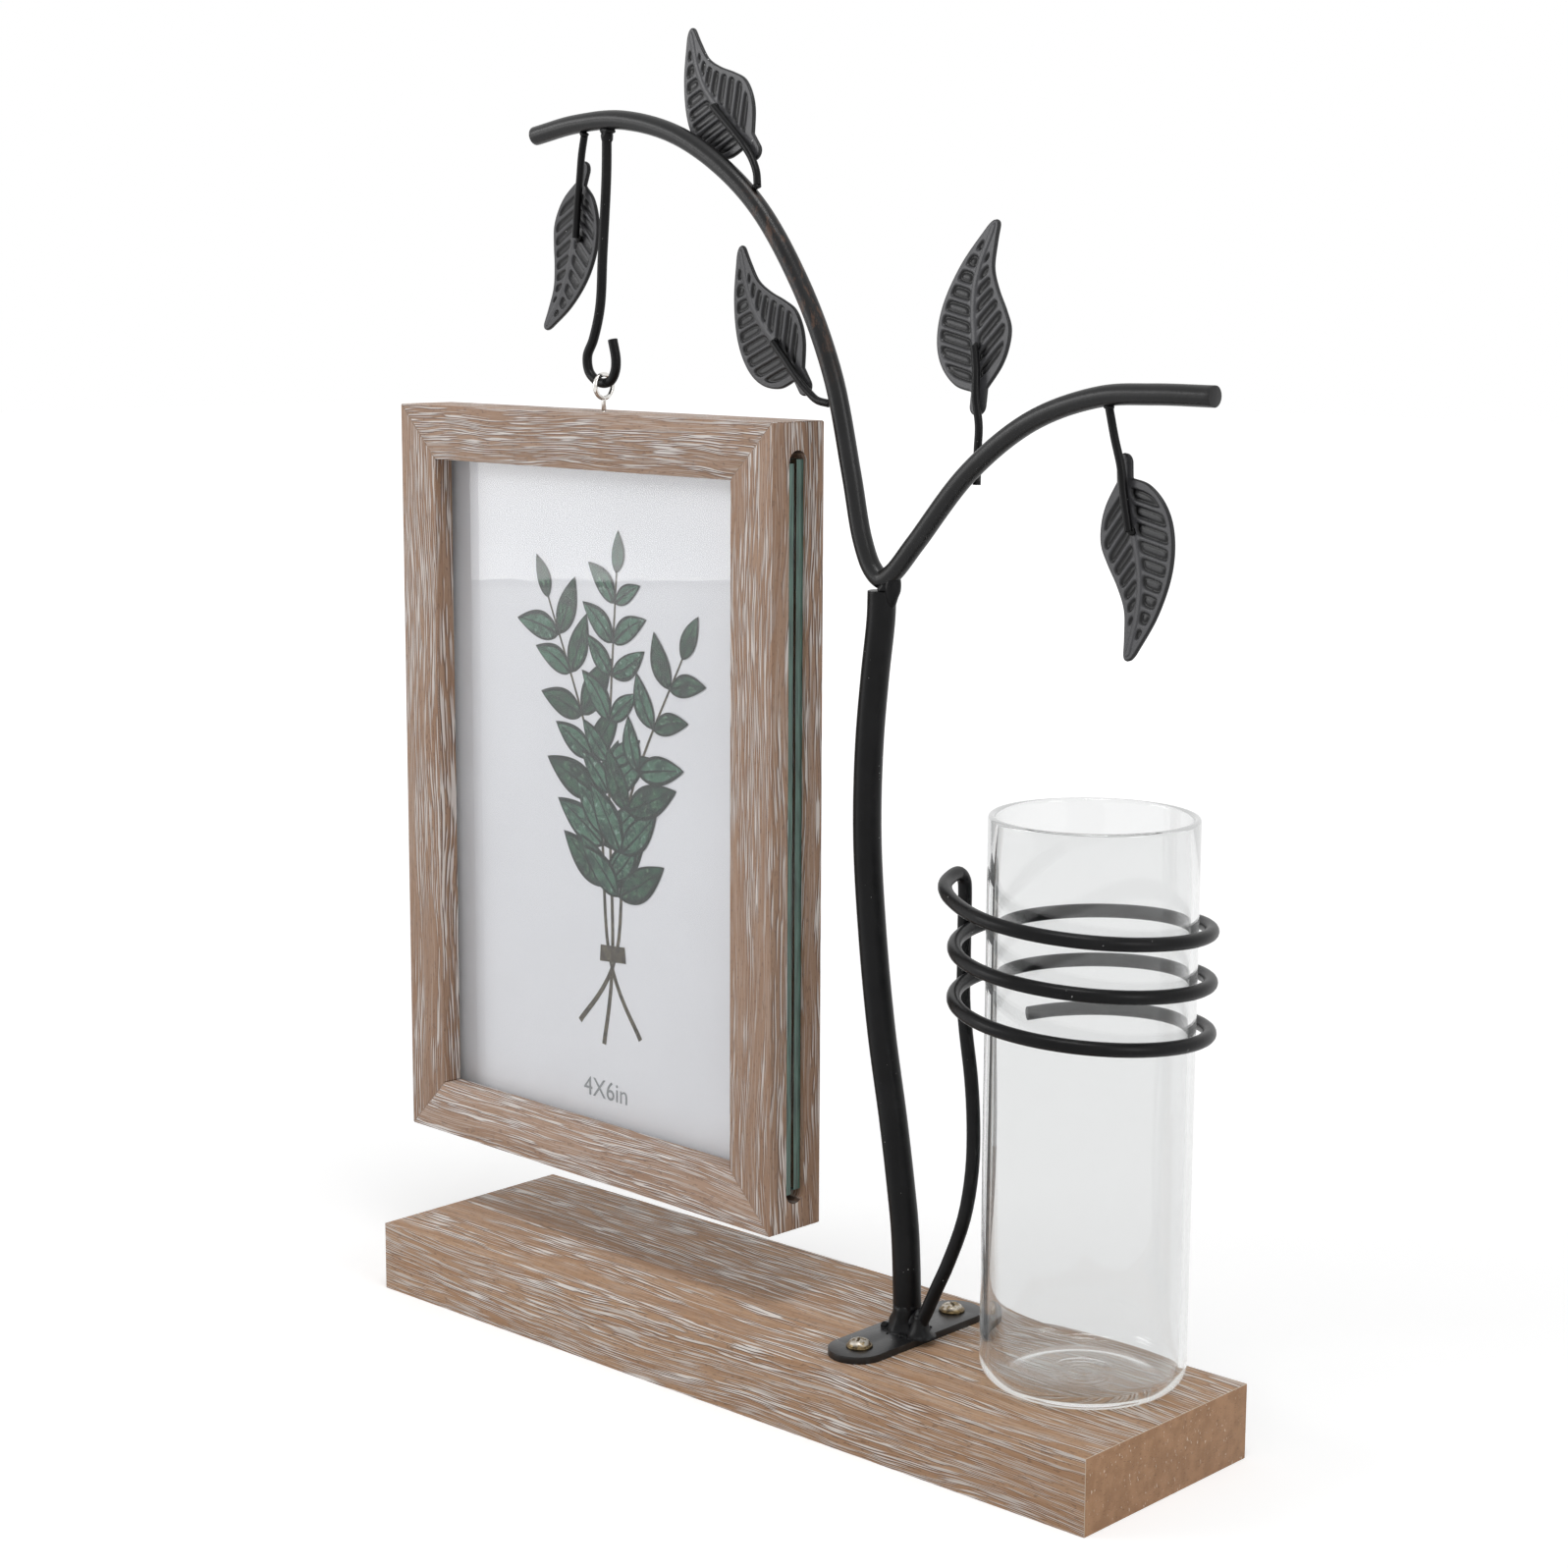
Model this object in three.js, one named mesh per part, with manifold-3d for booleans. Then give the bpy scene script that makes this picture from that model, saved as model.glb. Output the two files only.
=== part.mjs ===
// Hydroponic frame planter. A wooden board carries a small bent-metal tree: a photo frame
// hangs from its long arm, and a wire coil beside the trunk holds a clear glass tube upright.
// Millimetres, X along the board to the right, Y to the back, Z up.
// The origin is the middle of the board's underside.
import * as THREE from "three";
import { mergeVertices } from "three/addons/utils/BufferGeometryUtils.js";
import Module from "manifold-3d";

const wasm = await Module();
wasm.setup();

// Clearances
const weldGap = 0.3; // between two pieces joined by a weld
const runGap = 0.3; // between the screw eye and the hook or the wood
const slideGap = 0.2; // on each face of the panes and the card
const mitreGap = 0.2; // across a mitre
const fastenerGap = 0.3; // round a screw's shank
const coilGap = 0.5; // between the coil and its own post

// Base board
const boardLength = 200;
const boardDepth = 52;
const boardHeight = 15.4;

// Mounting plate and its screws
const treeY = 0.6; // the tree stands in this plane
const plateX = 33.9;
const plateWidth = 12;
const plateLength = 42;
const plateThick = 1.5;
const screwSpacing = 29;
const screwLength = 12;
const screwShankRadius = 1.4;
const screwHeadRadius = 2.7;
const screwHeadHeight = 1.7;
const screwSlotWidth = 0.7;
const screwSlotLength = 2.6;
const screwSlotDepth = 0.9;

// Trunk, arms and hook
const trunkX = 34;
const trunkRadius = 2.9;
const armRadius = 2;
const hookRadius = 1.05;
const hookX = -53.9; // where the eye hangs
const hookDrop = 52.6; // from the arm's underside to the middle of the hook's lowest wire

// Leaves, one stamping for all five
const leafThick = 1;
const leafTabWidth = 3.8;
const leafTabLength = 4;
const leafRim = 1.1; // raised edge round the leaf
const leafRib = 0.75; // raised vein between two pressed cells
const leafMidrib = 1.5; // raised middle rib
const cellDepth = 0.45;
const cellsPerSide = 9;
const veinSpacing = 3.25;
const stemRadius = 0.8;

// Holder: a post, then a coil round the glass
const wireRadius = 1.4;
const coilX = 72.9;
const coilY = 5.6;
const coilRadius = 24.6;
const coilPitch = 10;
const coilTopHeight = 95.1; // above the board, where the coil proper begins
const coilDroop = 0.02; // the coil leans down a little to the right
const postAngle = 183.7;
const coilEndAngle = 1236;
const bendRadius = 3.2;
const crestRise = 0.7;
const settleAngle = 62;
const stepsPerTurn = 25;

// Glass tube
const glassX = 74.8;
const glassY = 6;
const glassRadius = 20.3;
const glassHeight = 112.5;
const glassWall = 1.5;
const glassFloor = 2;
const footRadius = 4.5;
const footHollow = 0.5;

// Card and panes
const cardWidth = 101.6;
const cardThick = 0.4;
const paneHeight = 152.4;
const paneThick = 1.9;
const paneLoose = 0.7; // free height above and below a pane
const paneStep = 0.8; // the back pane sits this much higher than the front one
const paneInset = 0.8; // from the right rail's side face to the panes' edge
const paneStart = 9; // from the left rail's side face to the panes' other edge
const slotRun = 1.6; // the open slot runs this much past the grooves

// Photo frame, sized by the card and the panes that its rails hold
const railWidth = 12;
const cardBite = 2.9; // the card reaches this far into each side rail
const paneBite = 4; // the panes reach this far into the top and bottom rails
const frameWidth = cardWidth + 2 * (railWidth - cardBite);
const frameHeight = paneHeight + 2 * (railWidth - paneBite);
const frameDepth = 14.6;
const frameLift = 16.3; // from the board up to the frame's lower edge
const frameTurn = -2.2; // the frame hangs turned a little, in degrees
const eyeOffset = 1.2; // the eye sits right of the frame's middle

// Screw eye
const eyeRadius = 2.5;
const eyeWire = 0.5;
const eyeNeck = 2.4; // shank seen between ring and wood
const eyeThread = 5;

// Finishes
const limedWood = { color: 0xa58770, roughness: 0.6, metalness: 0 };
const blackMetal = { color: 0x2b2b2c, roughness: 0.45, metalness: 0.6 };
const bronze = { color: 0x8d7648, roughness: 0.35, metalness: 0.9 };
const nickel = { color: 0xcfccc6, roughness: 0.2, metalness: 1 };
const clearGlass = { color: 0xe9efee, roughness: 0.05, metalness: 0, transparent: true, opacity: 0.3 };
const cardPaper = { color: 0xe4e4e1, roughness: 0.7, metalness: 0 };

const planter = new THREE.Group();

function addPiece(name, geometry, finish, parent = planter) {
  const mesh = new THREE.Mesh(geometry, new THREE.MeshStandardMaterial(finish));
  mesh.name = name;
  parent.add(mesh);
  return mesh;
}

// Solids that are cut or joined
function solidOf(geometry) {
  const bare = geometry.clone();
  bare.deleteAttribute("normal");
  bare.deleteAttribute("uv");
  const merged = mergeVertices(bare, 1e-4);
  return new wasm.Manifold(
    new wasm.Mesh({
      numProp: 3,
      vertProperties: new Float32Array(merged.attributes.position.array),
      triVerts: new Uint32Array(merged.index.array),
    }),
  );
}

function geometryOf(solid) {
  const mesh = solid.getMesh();
  const geometry = new THREE.BufferGeometry();
  geometry.setAttribute("position", new THREE.BufferAttribute(mesh.vertProperties, 3));
  geometry.setIndex(new THREE.BufferAttribute(mesh.triVerts, 1));
  geometry.computeVertexNormals();
  return geometry;
}

function cut(geometry, cutters) {
  let solid = solidOf(geometry);
  for (const cutter of cutters) {
    solid = solid.subtract(solidOf(cutter));
  }
  return geometryOf(solid);
}

function join(geometries) {
  let solid = solidOf(geometries[0]);
  for (const geometry of geometries.slice(1)) {
    solid = solid.add(solidOf(geometry));
  }
  return geometryOf(solid);
}

// An outline drawn in X and Z, given its thickness along Y about the plane Y = 0
function standUp(shape, thickness, curveSegments = 3) {
  const geometry = new THREE.ExtrudeGeometry(shape, {
    depth: thickness,
    bevelEnabled: false,
    curveSegments,
  });
  return geometry.rotateX(Math.PI / 2).translate(0, thickness / 2, 0);
}

// A curve whose rings are spread by its points, so that a tight bend gets more of them
class BentRod extends THREE.CatmullRomCurve3 {
  getUtoTmapping(u) {
    return u;
  }
}

function rodAlong(points, radius, sides, ringsPerSpan) {
  const corners = [];
  for (let side = 0; side < sides; side += 1) {
    const angle = (2 * Math.PI * side) / sides;
    corners.push(new THREE.Vector2(radius * Math.cos(angle), radius * Math.sin(angle)));
  }
  return new THREE.ExtrudeGeometry(new THREE.Shape(corners), {
    steps: (points.length - 1) * ringsPerSpan,
    extrudePath: new BentRod(points),
  });
}

// An obround outline with its long side along Y
function obround(width, length) {
  const radius = width / 2;
  const reach = length / 2 - radius;
  const shape = new THREE.Shape();
  shape.moveTo(radius, -reach);
  shape.lineTo(radius, reach);
  shape.absarc(0, reach, radius, 0, Math.PI, false);
  shape.lineTo(-radius, -reach);
  shape.absarc(0, -reach, radius, Math.PI, 2 * Math.PI, false);
  return shape;
}

function uprightCylinder(radius, height, bottom, segments = 20) {
  const geometry = new THREE.CylinderGeometry(radius, radius, height, segments);
  return geometry.rotateX(Math.PI / 2).translate(0, 0, bottom + height / 2);
}

// Base board with its two pilot holes
const plateTop = boardHeight + plateThick;
const screwHoleRadius = screwShankRadius + fastenerGap;
const pilotDepth = screwLength - plateThick + 1;
const screwPlaces = [
  ["plate_screw_front", treeY - screwSpacing / 2],
  ["plate_screw_back", treeY + screwSpacing / 2],
];
const board = new THREE.BoxGeometry(boardLength, boardDepth, boardHeight).translate(0, 0, boardHeight / 2);
const pilots = screwPlaces.map(([, y]) =>
  uprightCylinder(screwHoleRadius, pilotDepth + 1, boardHeight - pilotDepth).translate(plateX, y, 0),
);
addPiece("base_board", cut(board, pilots), limedWood);

// Mounting plate
const plateShape = obround(plateWidth, plateLength);
for (const [, y] of screwPlaces) {
  const hole = new THREE.Path();
  hole.absarc(0, y - treeY, screwHoleRadius, 0, 2 * Math.PI, true);
  plateShape.holes.push(hole);
}
const plate = new THREE.ExtrudeGeometry(plateShape, {
  depth: plateThick,
  bevelEnabled: false,
  curveSegments: 10,
});
addPiece("mounting_plate", plate.translate(plateX, treeY, boardHeight), blackMetal);

// Pan-head screws with a cross recess
function panHeadScrew() {
  const rim = screwHeadRadius;
  const profile = [
    new THREE.Vector2(0, -screwLength),
    new THREE.Vector2(screwShankRadius * 0.4, -screwLength + 0.5),
    new THREE.Vector2(screwShankRadius, -screwLength + 2.5),
    new THREE.Vector2(screwShankRadius, 0),
    new THREE.Vector2(rim, 0),
    new THREE.Vector2(rim, screwHeadHeight * 0.35),
    new THREE.Vector2(rim * 0.86, screwHeadHeight * 0.72),
    new THREE.Vector2(rim * 0.5, screwHeadHeight * 0.95),
    new THREE.Vector2(0, screwHeadHeight),
  ];
  const body = new THREE.LatheGeometry(profile, 20).rotateX(Math.PI / 2);
  const slots = [0, Math.PI / 2].map((angle) =>
    new THREE.BoxGeometry(screwSlotLength, screwSlotWidth, 2 * screwSlotDepth)
      .rotateZ(angle)
      .translate(0, 0, screwHeadHeight),
  );
  return cut(body, slots);
}
const screwGeometry = panHeadScrew();
for (const [name, y] of screwPlaces) {
  addPiece(name, screwGeometry, bronze).position.set(plateX, y, plateTop);
}

// Heights from the board up through the hanging frame and its eye to the hook's top
const frameTopZ = boardHeight + frameLift + frameHeight;
const ringZ = frameTopZ + eyeNeck + eyeWire + eyeRadius;
const hookZ = ringZ + eyeRadius - eyeWire - runGap - hookRadius;
const hookTopZ = hookZ + hookDrop;
const hookTopX = hookX + 1.4;

// Trunk: offsets to the right of its foot, at shares of its height
const trunkBends = [
  [0, 0],
  [0, 0.04],
  [-0.7, 0.133],
  [-1.9, 0.193],
  [-4.2, 0.286],
  [-7.6, 0.405],
  [-10.3, 0.538],
  [-11.9, 0.671],
  [-11.6, 0.79],
  [-10.3, 0.883],
  [-8.8, 0.963],
  [-8.6, 1],
];
const forkX = trunkX + trunkBends.at(-1)[0];

// Arms: one rod bent to a V, both sides given from its lowest point on the trunk's top
const armBends = [
  [-100, 88.6],
  [-87.1, 90.7],
  [-72.4, 91],
  [-54.8, 86.6],
  [-36.1, 74.7],
  [-22.6, 57.8],
  [-13.6, 39.9],
  [-8.3, 20.2],
  [-5.3, 7.6],
  [-2.6, 1.9],
  [0, 0],
  [2.6, 1.3],
  [8.6, 7.7],
  [21.7, 22],
  [36.7, 32.3],
  [52.4, 37.3],
  [64.6, 38.1],
  [78.1, 38.1],
];
const armLine = (bottom) => armBends.map(([dx, dz]) => new THREE.Vector3(forkX + dx, treeY, bottom + dz));

// Where an arm's centreline passes a given X, with the direction square to it
function passing(curve, x) {
  let low = 0;
  let high = 1;
  while (high - low > 1e-6) {
    const middle = (low + high) / 2;
    if (curve.getPoint(middle).x < x) low = middle;
    else high = middle;
  }
  const along = curve.getTangent(low);
  return { centre: curve.getPoint(low), upward: new THREE.Vector3(-along.z, 0, along.x) };
}
const rise = passing(new BentRod(armLine(0)), hookTopX).centre.z;
const forkZ = hookTopZ + weldGap + armRadius - rise;
const armPoints = armLine(forkZ);
const armCurve = new BentRod(armPoints);
addPiece("branch_rod", rodAlong(armPoints, armRadius, 10, 4), blackMetal);

const trunkHeight = forkZ - armRadius - weldGap - plateTop;
const trunkPoints = trunkBends.map(
  ([dx, share]) => new THREE.Vector3(trunkX + dx, treeY, plateTop + share * trunkHeight),
);
addPiece("trunk_tube", rodAlong(trunkPoints, trunkRadius, 12, 3), blackMetal);

// Hook: offsets from the middle of its lowest wire
const hookBends = [
  [1.2, 43.4],
  [-0.1, 27],
  [-1, 16],
  [-3.1, 9.2],
  [-5, 5.6],
  [-4.5, 2.4],
  [-2.2, 0.5],
  [0, 0],
  [2.2, 0.6],
  [3.5, 2.5],
  [3.8, 5],
  [2.8, 9.3],
];
const hookPoints = [new THREE.Vector3(hookTopX, treeY, hookTopZ)];
for (const [dx, dz] of hookBends) {
  hookPoints.push(new THREE.Vector3(hookX + dx, treeY, hookZ + dz));
}
addPiece("frame_hook", rodAlong(hookPoints, hookRadius, 8, 3), blackMetal);

// Leaf outline from the tab up: the full side, the tip, and the side that sweeps in
const fullSide = [
  [-6, 2],
  [-9.6, 5.3],
  [-11.6, 9.6],
  [-11.9, 14.9],
  [-10.5, 20.5],
  [-7.2, 26.8],
  [-2.6, 32.6],
];
const sweptSide = [
  [0.6, 29.4],
  [0.6, 24.9],
  [2.2, 20.7],
  [4.6, 16.5],
  [6.2, 12.9],
  [6.1, 9.1],
  [4.8, 5.4],
];
const leafTip = [0, 34.4];
const midribLine = [
  [0, 0],
  [-1.3, 5],
  [-2.4, 11.4],
  [-3.3, 16],
  [-3.6, 21],
  [-2.8, 26],
  [-1.1, 31],
];
const flat = (pairs) => pairs.map(([x, y]) => new THREE.Vector2(x, y));
const tabHalf = leafTabWidth / 2;

function leafOutline() {
  const shape = new THREE.Shape();
  shape.moveTo(-tabHalf, -leafTabLength + tabHalf);
  shape.lineTo(-tabHalf, 0.7);
  shape.splineThru(flat(fullSide));
  shape.quadraticCurveTo(-1.1, 34.5, ...leafTip);
  shape.quadraticCurveTo(1, 34.2, 0.9, 32.9);
  shape.splineThru(flat(sweptSide));
  shape.lineTo(tabHalf, 1.3);
  shape.lineTo(tabHalf, -leafTabLength + tabHalf);
  shape.absarc(0, -leafTabLength + tabHalf, tabHalf, 0, -Math.PI, true);
  return shape;
}

// A line moved sideways by a distance, to its left when that is positive
function offsetLine(points, distance) {
  return points.map((point, i) => {
    const before = points[Math.max(i - 1, 0)];
    const after = points[Math.min(i + 1, points.length - 1)];
    const along = after.clone().sub(before).normalize();
    return new THREE.Vector2(point.x - along.y * distance, point.y + along.x * distance);
  });
}

// Where a ray first meets a line of points, or null
function rayMeets(start, direction, line) {
  let best = null;
  for (let i = 0; i < line.length - 1; i += 1) {
    const span = line[i + 1].clone().sub(line[i]);
    const toLine = line[i].clone().sub(start);
    const spread = direction.cross(span);
    if (Math.abs(spread) < 1e-9) continue;
    const reach = toLine.cross(span) / spread;
    const share = toLine.cross(direction) / spread;
    if (reach > 0 && share >= 0 && share <= 1 && (best === null || reach < best)) best = reach;
  }
  return best === null ? null : start.clone().addScaledVector(direction, best);
}

// Pressed cells: on each side, the space between two veins, the midrib and the rim
function leafCells() {
  const midrib = new THREE.SplineCurve(flat(midribLine)).getPoints(60);
  const cells = [];
  const sides = [
    { away: -1, slope: 0.3, edge: [[-tabHalf, 0.7], ...fullSide, leafTip] },
    { away: 1, slope: 0.72, edge: [[tabHalf, 1.3], ...[...sweptSide].reverse(), [0.9, 32.9], leafTip] },
  ];
  for (const { away, slope, edge } of sides) {
    const rim = offsetLine(new THREE.SplineCurve(flat(edge)).getPoints(120), away * leafRim);
    const inner = offsetLine(midrib, -away * (leafMidrib / 2));
    const vein = new THREE.Vector2(away * Math.cos(slope), Math.sin(slope));
    const shift = new THREE.Vector2(0, leafRib / (2 * Math.cos(slope)));
    const rayFrom = (height, sign) => {
      const start = inner[0].clone();
      for (const point of inner) {
        if (point.y < height) start.copy(point);
      }
      return start.addScaledVector(shift, sign);
    };
    for (let i = 0; i < cellsPerSide; i += 1) {
      const low = rayFrom(1.5 + i * veinSpacing, 1);
      const high = rayFrom(1.5 + (i + 1) * veinSpacing, -1);
      const lowEnd = rayMeets(low, vein, rim);
      const highEnd = rayMeets(high, vein, rim);
      if (!lowEnd || !highEnd || high.y - low.y < 1) continue;
      if (lowEnd.distanceTo(low) < 1 || highEnd.distanceTo(high) < 0.8) continue;
      const bulge = rayMeets(low.clone().lerp(high, 0.5), vein, rim);
      cells.push(new THREE.Shape([low, lowEnd, bulge, highEnd, high]));
    }
  }
  return cells;
}

function stampedLeaf() {
  const blade = standUp(leafOutline(), leafThick);
  const pressedTo = -leafThick / 2 + cellDepth;
  const cutters = leafCells().map((cell) =>
    standUp(cell, 1).translate(0, pressedTo - 0.5, 0),
  );
  return cut(blade, cutters);
}
const leafGeometry = stampedLeaf();

// Leaves. Each stem leaves the arm at a given X, on one side of it, and bends by steps in
// the tree's plane; its tail lies along the leaf. The leaf's foot is given from the stem's
// root, with its lean in the tree's plane, its turn and its tilt in degrees.
const stemX = [-10.8, -59.6, 13.5, 46.6, 79.9];
const stemSide = ["over", "under", "under", "behind", "under"];
const stemBends = [
  [[-0.8, 2.6], [-2.6, 5.4]],
  [[-1.7, -4], [-3.1, -8.8]],
  [[-3.5, 0.6], [-6, 2.1]],
  [[-0.2, 6.4], [-0.3, 11.3]],
  [[1.4, -5.3], [3, -10.5]],
];
const stemTails = [
  [[-0.6, 0.1], [-1.5, 5.6], [-3, 13.7]],
  [[-2.7, 4.2], [-5.2, 11.4]],
  [[0.3, -0.2], [-0.7, 5.6], [-1.6, 10.4]],
  [[0.5, -0.7], [-0.2, 4.8], [-1.2, 9.4]],
  [[-1, 3.6], [-2.2, 10.5]],
];
const leafFeet = [
  [-4.8, 3.2, 8.3],
  [-5.2, 4.3, -8.9],
  [-9.6, 2.3, 4.7],
  [-2, 2.8, 17],
  [2.7, 1.7, -12],
];
const leafAngles = [
  { lean: -44.1, turn: -5.1, tilt: -10.4 },
  { lean: 201.1, turn: -11.5, tilt: -3.6 },
  { lean: -39.6, turn: -5.7, tilt: -5.9 },
  { lean: -3.5, turn: -0.2, tilt: -12.3 },
  { lean: 174.8, turn: -7.2, tilt: -2.5 },
];
const stemStandoff = leafThick / 2 + weldGap + stemRadius;
const stemTail = 2.1; // a stem behind the arm starts this far below its middle

// The middle of the stem's cut end, far enough out for the whole end to clear the arm
function stemRoot(x, side, [[dx, dz]]) {
  const { centre, upward } = passing(armCurve, x);
  if (side === "behind") {
    return centre.add(new THREE.Vector3(0, armRadius + weldGap + stemRadius, -stemTail));
  }
  const slant = new THREE.Vector3(dx, 0, dz).normalize().cross(upward).length();
  const clear = armRadius + weldGap + stemRadius * slant;
  return centre.addScaledVector(upward, side === "over" ? clear : -clear);
}

for (const [index, { lean, turn, tilt }] of leafAngles.entries()) {
  const root = stemRoot(stemX[index], stemSide[index], stemBends[index]);
  const blade = addPiece(`leaf_${index + 1}`, leafGeometry, blackMetal);
  blade.rotation.set(...[tilt, lean, turn].map(THREE.MathUtils.degToRad), "ZXY");
  blade.position.set(...leafFeet[index]).add(root);
  blade.updateMatrixWorld(true);
  const tail = stemTails[index].map(([x, z]) =>
    new THREE.Vector3(x, -stemStandoff, z).applyMatrix4(blade.matrixWorld),
  );
  const bends = stemBends[index].map(([dx, dz], step, all) => {
    const share = (step + 1) / (all.length + 1);
    return new THREE.Vector3(root.x + dx, THREE.MathUtils.lerp(root.y, tail[0].y, share), root.z + dz);
  });
  const stem = rodAlong([root, ...bends, ...tail], stemRadius, 8, 3);
  addPiece(`leaf_stem_${index + 1}`, stem, blackMetal);
}

// Holder wire: the post's bends, each as X, Y and height above the plate
const postBends = [
  [38.5, -0.8, 0],
  [38.5, -0.8, 1.4],
  [40.1, -0.4, 5.3],
  [42.2, 0.2, 10.6],
  [44.3, 0.9, 15.8],
  [47.6, 1.9, 26],
  [48.9, 2.6, 36],
  [48.6, 3.2, 45.4],
  [47.5, 3.6, 54.7],
  [45.8, 3.8, 64],
];
const postStraightFrom = 70.5; // above the plate, where the post stands straight

function holderPoints() {
  const points = postBends.map(([x, y, height]) => new THREE.Vector3(x, y, plateTop + height));
  const postRadius = coilRadius + 2 * wireRadius + coilGap;
  const radians = THREE.MathUtils.degToRad;
  const firstAngle = postAngle + settleAngle;
  const onCoil = (angle, radius, rise) => {
    const x = coilX + radius * Math.cos(radians(angle));
    const y = coilY + radius * Math.sin(radians(angle));
    const fall = (coilPitch * (angle - firstAngle)) / 360;
    const droop = coilDroop * (x - coilX);
    return new THREE.Vector3(x, y, boardHeight + coilTopHeight - fall - droop + rise);
  };
  const bendAngle = THREE.MathUtils.radToDeg(bendRadius / postRadius);
  const crest = onCoil(postAngle + bendAngle, postRadius, crestRise).z;
  const postX = onCoil(postAngle, postRadius, 0);
  const bendFoot = crest - bendRadius;
  const straight = 3;
  for (let step = 0; step <= straight; step += 1) {
    const height = THREE.MathUtils.lerp(plateTop + postStraightFrom, bendFoot, step / straight);
    points.push(new THREE.Vector3(postX.x, postX.y, height));
  }
  const bendSteps = 4;
  for (let step = 1; step <= bendSteps; step += 1) {
    const turn = (Math.PI / 2) * (step / bendSteps);
    const point = onCoil(postAngle + bendAngle * (1 - Math.cos(turn)), postRadius, 0);
    point.z = bendFoot + bendRadius * Math.sin(turn);
    points.push(point);
  }
  const startAngle = postAngle + bendAngle;
  const turnSteps = Math.ceil(((coilEndAngle - startAngle) / 360) * stepsPerTurn);
  for (let step = 1; step <= turnSteps; step += 1) {
    const angle = THREE.MathUtils.lerp(startAngle, coilEndAngle, step / turnSteps);
    const settled = THREE.MathUtils.smoothstep(angle, startAngle, firstAngle);
    const radius = THREE.MathUtils.lerp(postRadius, coilRadius, settled);
    points.push(onCoil(angle, radius, crestRise * (1 - settled)));
  }
  return points;
}
const wirePoints = holderPoints();
addPiece("holder_coil", rodAlong(wirePoints, wireRadius, 8, 1), blackMetal);

// The least gap between two lengths of the wire that lie side by side
function leastGap(points, radius) {
  const fine = new BentRod(points).getPoints(points.length * 8);
  const run = [0];
  for (let i = 1; i < fine.length; i += 1) run.push(run[i - 1] + fine[i].distanceTo(fine[i - 1]));
  let least = Infinity;
  for (let i = 0; i < fine.length; i += 1) {
    for (let j = i + 1; j < fine.length; j += 1) {
      if (run[j] - run[i] > 8 * radius) least = Math.min(least, fine[i].distanceTo(fine[j]));
    }
  }
  return least - 2 * radius;
}
console.log(`least gap of the holder wire to itself: ${leastGap(wirePoints, wireRadius).toFixed(2)} mm`);

// Glass tube: a turned section with a rounded foot, a pressed ring on its floor and a rounded rim
function glassSection() {
  const inner = glassRadius - glassWall;
  const rest = glassRadius - footRadius;
  const innerFoot = footRadius - glassWall;
  const section = new THREE.Path();
  section.moveTo(0, footHollow);
  section.lineTo(rest - 4, footHollow);
  section.lineTo(rest - 2, 0);
  section.lineTo(rest, 0);
  section.absarc(rest, footRadius, footRadius, -Math.PI / 2, 0, false);
  section.lineTo(glassRadius, glassHeight - glassWall / 2);
  section.absarc(glassRadius - glassWall / 2, glassHeight - glassWall / 2, glassWall / 2, 0, Math.PI, false);
  section.lineTo(inner, glassFloor + innerFoot);
  section.absarc(inner - innerFoot, glassFloor + innerFoot, innerFoot, 0, -Math.PI / 2, true);
  section.lineTo(5, glassFloor);
  section.lineTo(3.6, glassFloor + 0.3);
  section.lineTo(0, glassFloor + 0.1);
  return section.getPoints(2);
}
const tube = new THREE.LatheGeometry(glassSection(), 40).rotateX(Math.PI / 2);
addPiece("glass_tube", tube, clearGlass).position.set(glassX, glassY, boardHeight);

// Frame group, hung below the hook by its screw eye
const turnRadians = THREE.MathUtils.degToRad(frameTurn);
const frame = new THREE.Group();
frame.rotation.z = turnRadians;
frame.position.set(
  hookX - eyeOffset * Math.cos(turnRadians),
  treeY - eyeOffset * Math.sin(turnRadians),
  frameTopZ - frameHeight / 2,
);
planter.add(frame);

// Rails: mitred, grooved for the glass, the right one open to its side
const openWidth = frameWidth - 2 * railWidth;
const openHeight = frameHeight - 2 * railWidth;
const grooveWidth = 2 * paneThick + cardThick + 4 * slideGap;
const grooveHeight = paneHeight + 2 * paneLoose;
const paneRight = frameWidth / 2 - paneInset;
const paneLeft = paneStart - frameWidth / 2;
const paneWidth = paneRight - paneLeft;
const grooveLeft = paneLeft - paneLoose;
const grooveRight = openWidth / 2 + (grooveHeight - openHeight) / 2;
const groove = new THREE.BoxGeometry(grooveRight - grooveLeft, grooveWidth, grooveHeight);
groove.translate((grooveRight + grooveLeft) / 2, 0, 0);

function sideSlot() {
  const shape = obround(grooveWidth, grooveHeight + 2 * slotRun);
  const reach = railWidth + 2;
  const slot = new THREE.ExtrudeGeometry(shape, { depth: reach, bevelEnabled: false, curveSegments: 10 });
  const lieAlongX = new THREE.Matrix4().set(0, 0, 1, 0, 1, 0, 0, 0, 0, 1, 0, 0, 0, 0, 0, 1);
  return slot.applyMatrix4(lieAlongX).translate(openWidth / 2 - 1, 0, 0);
}

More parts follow.
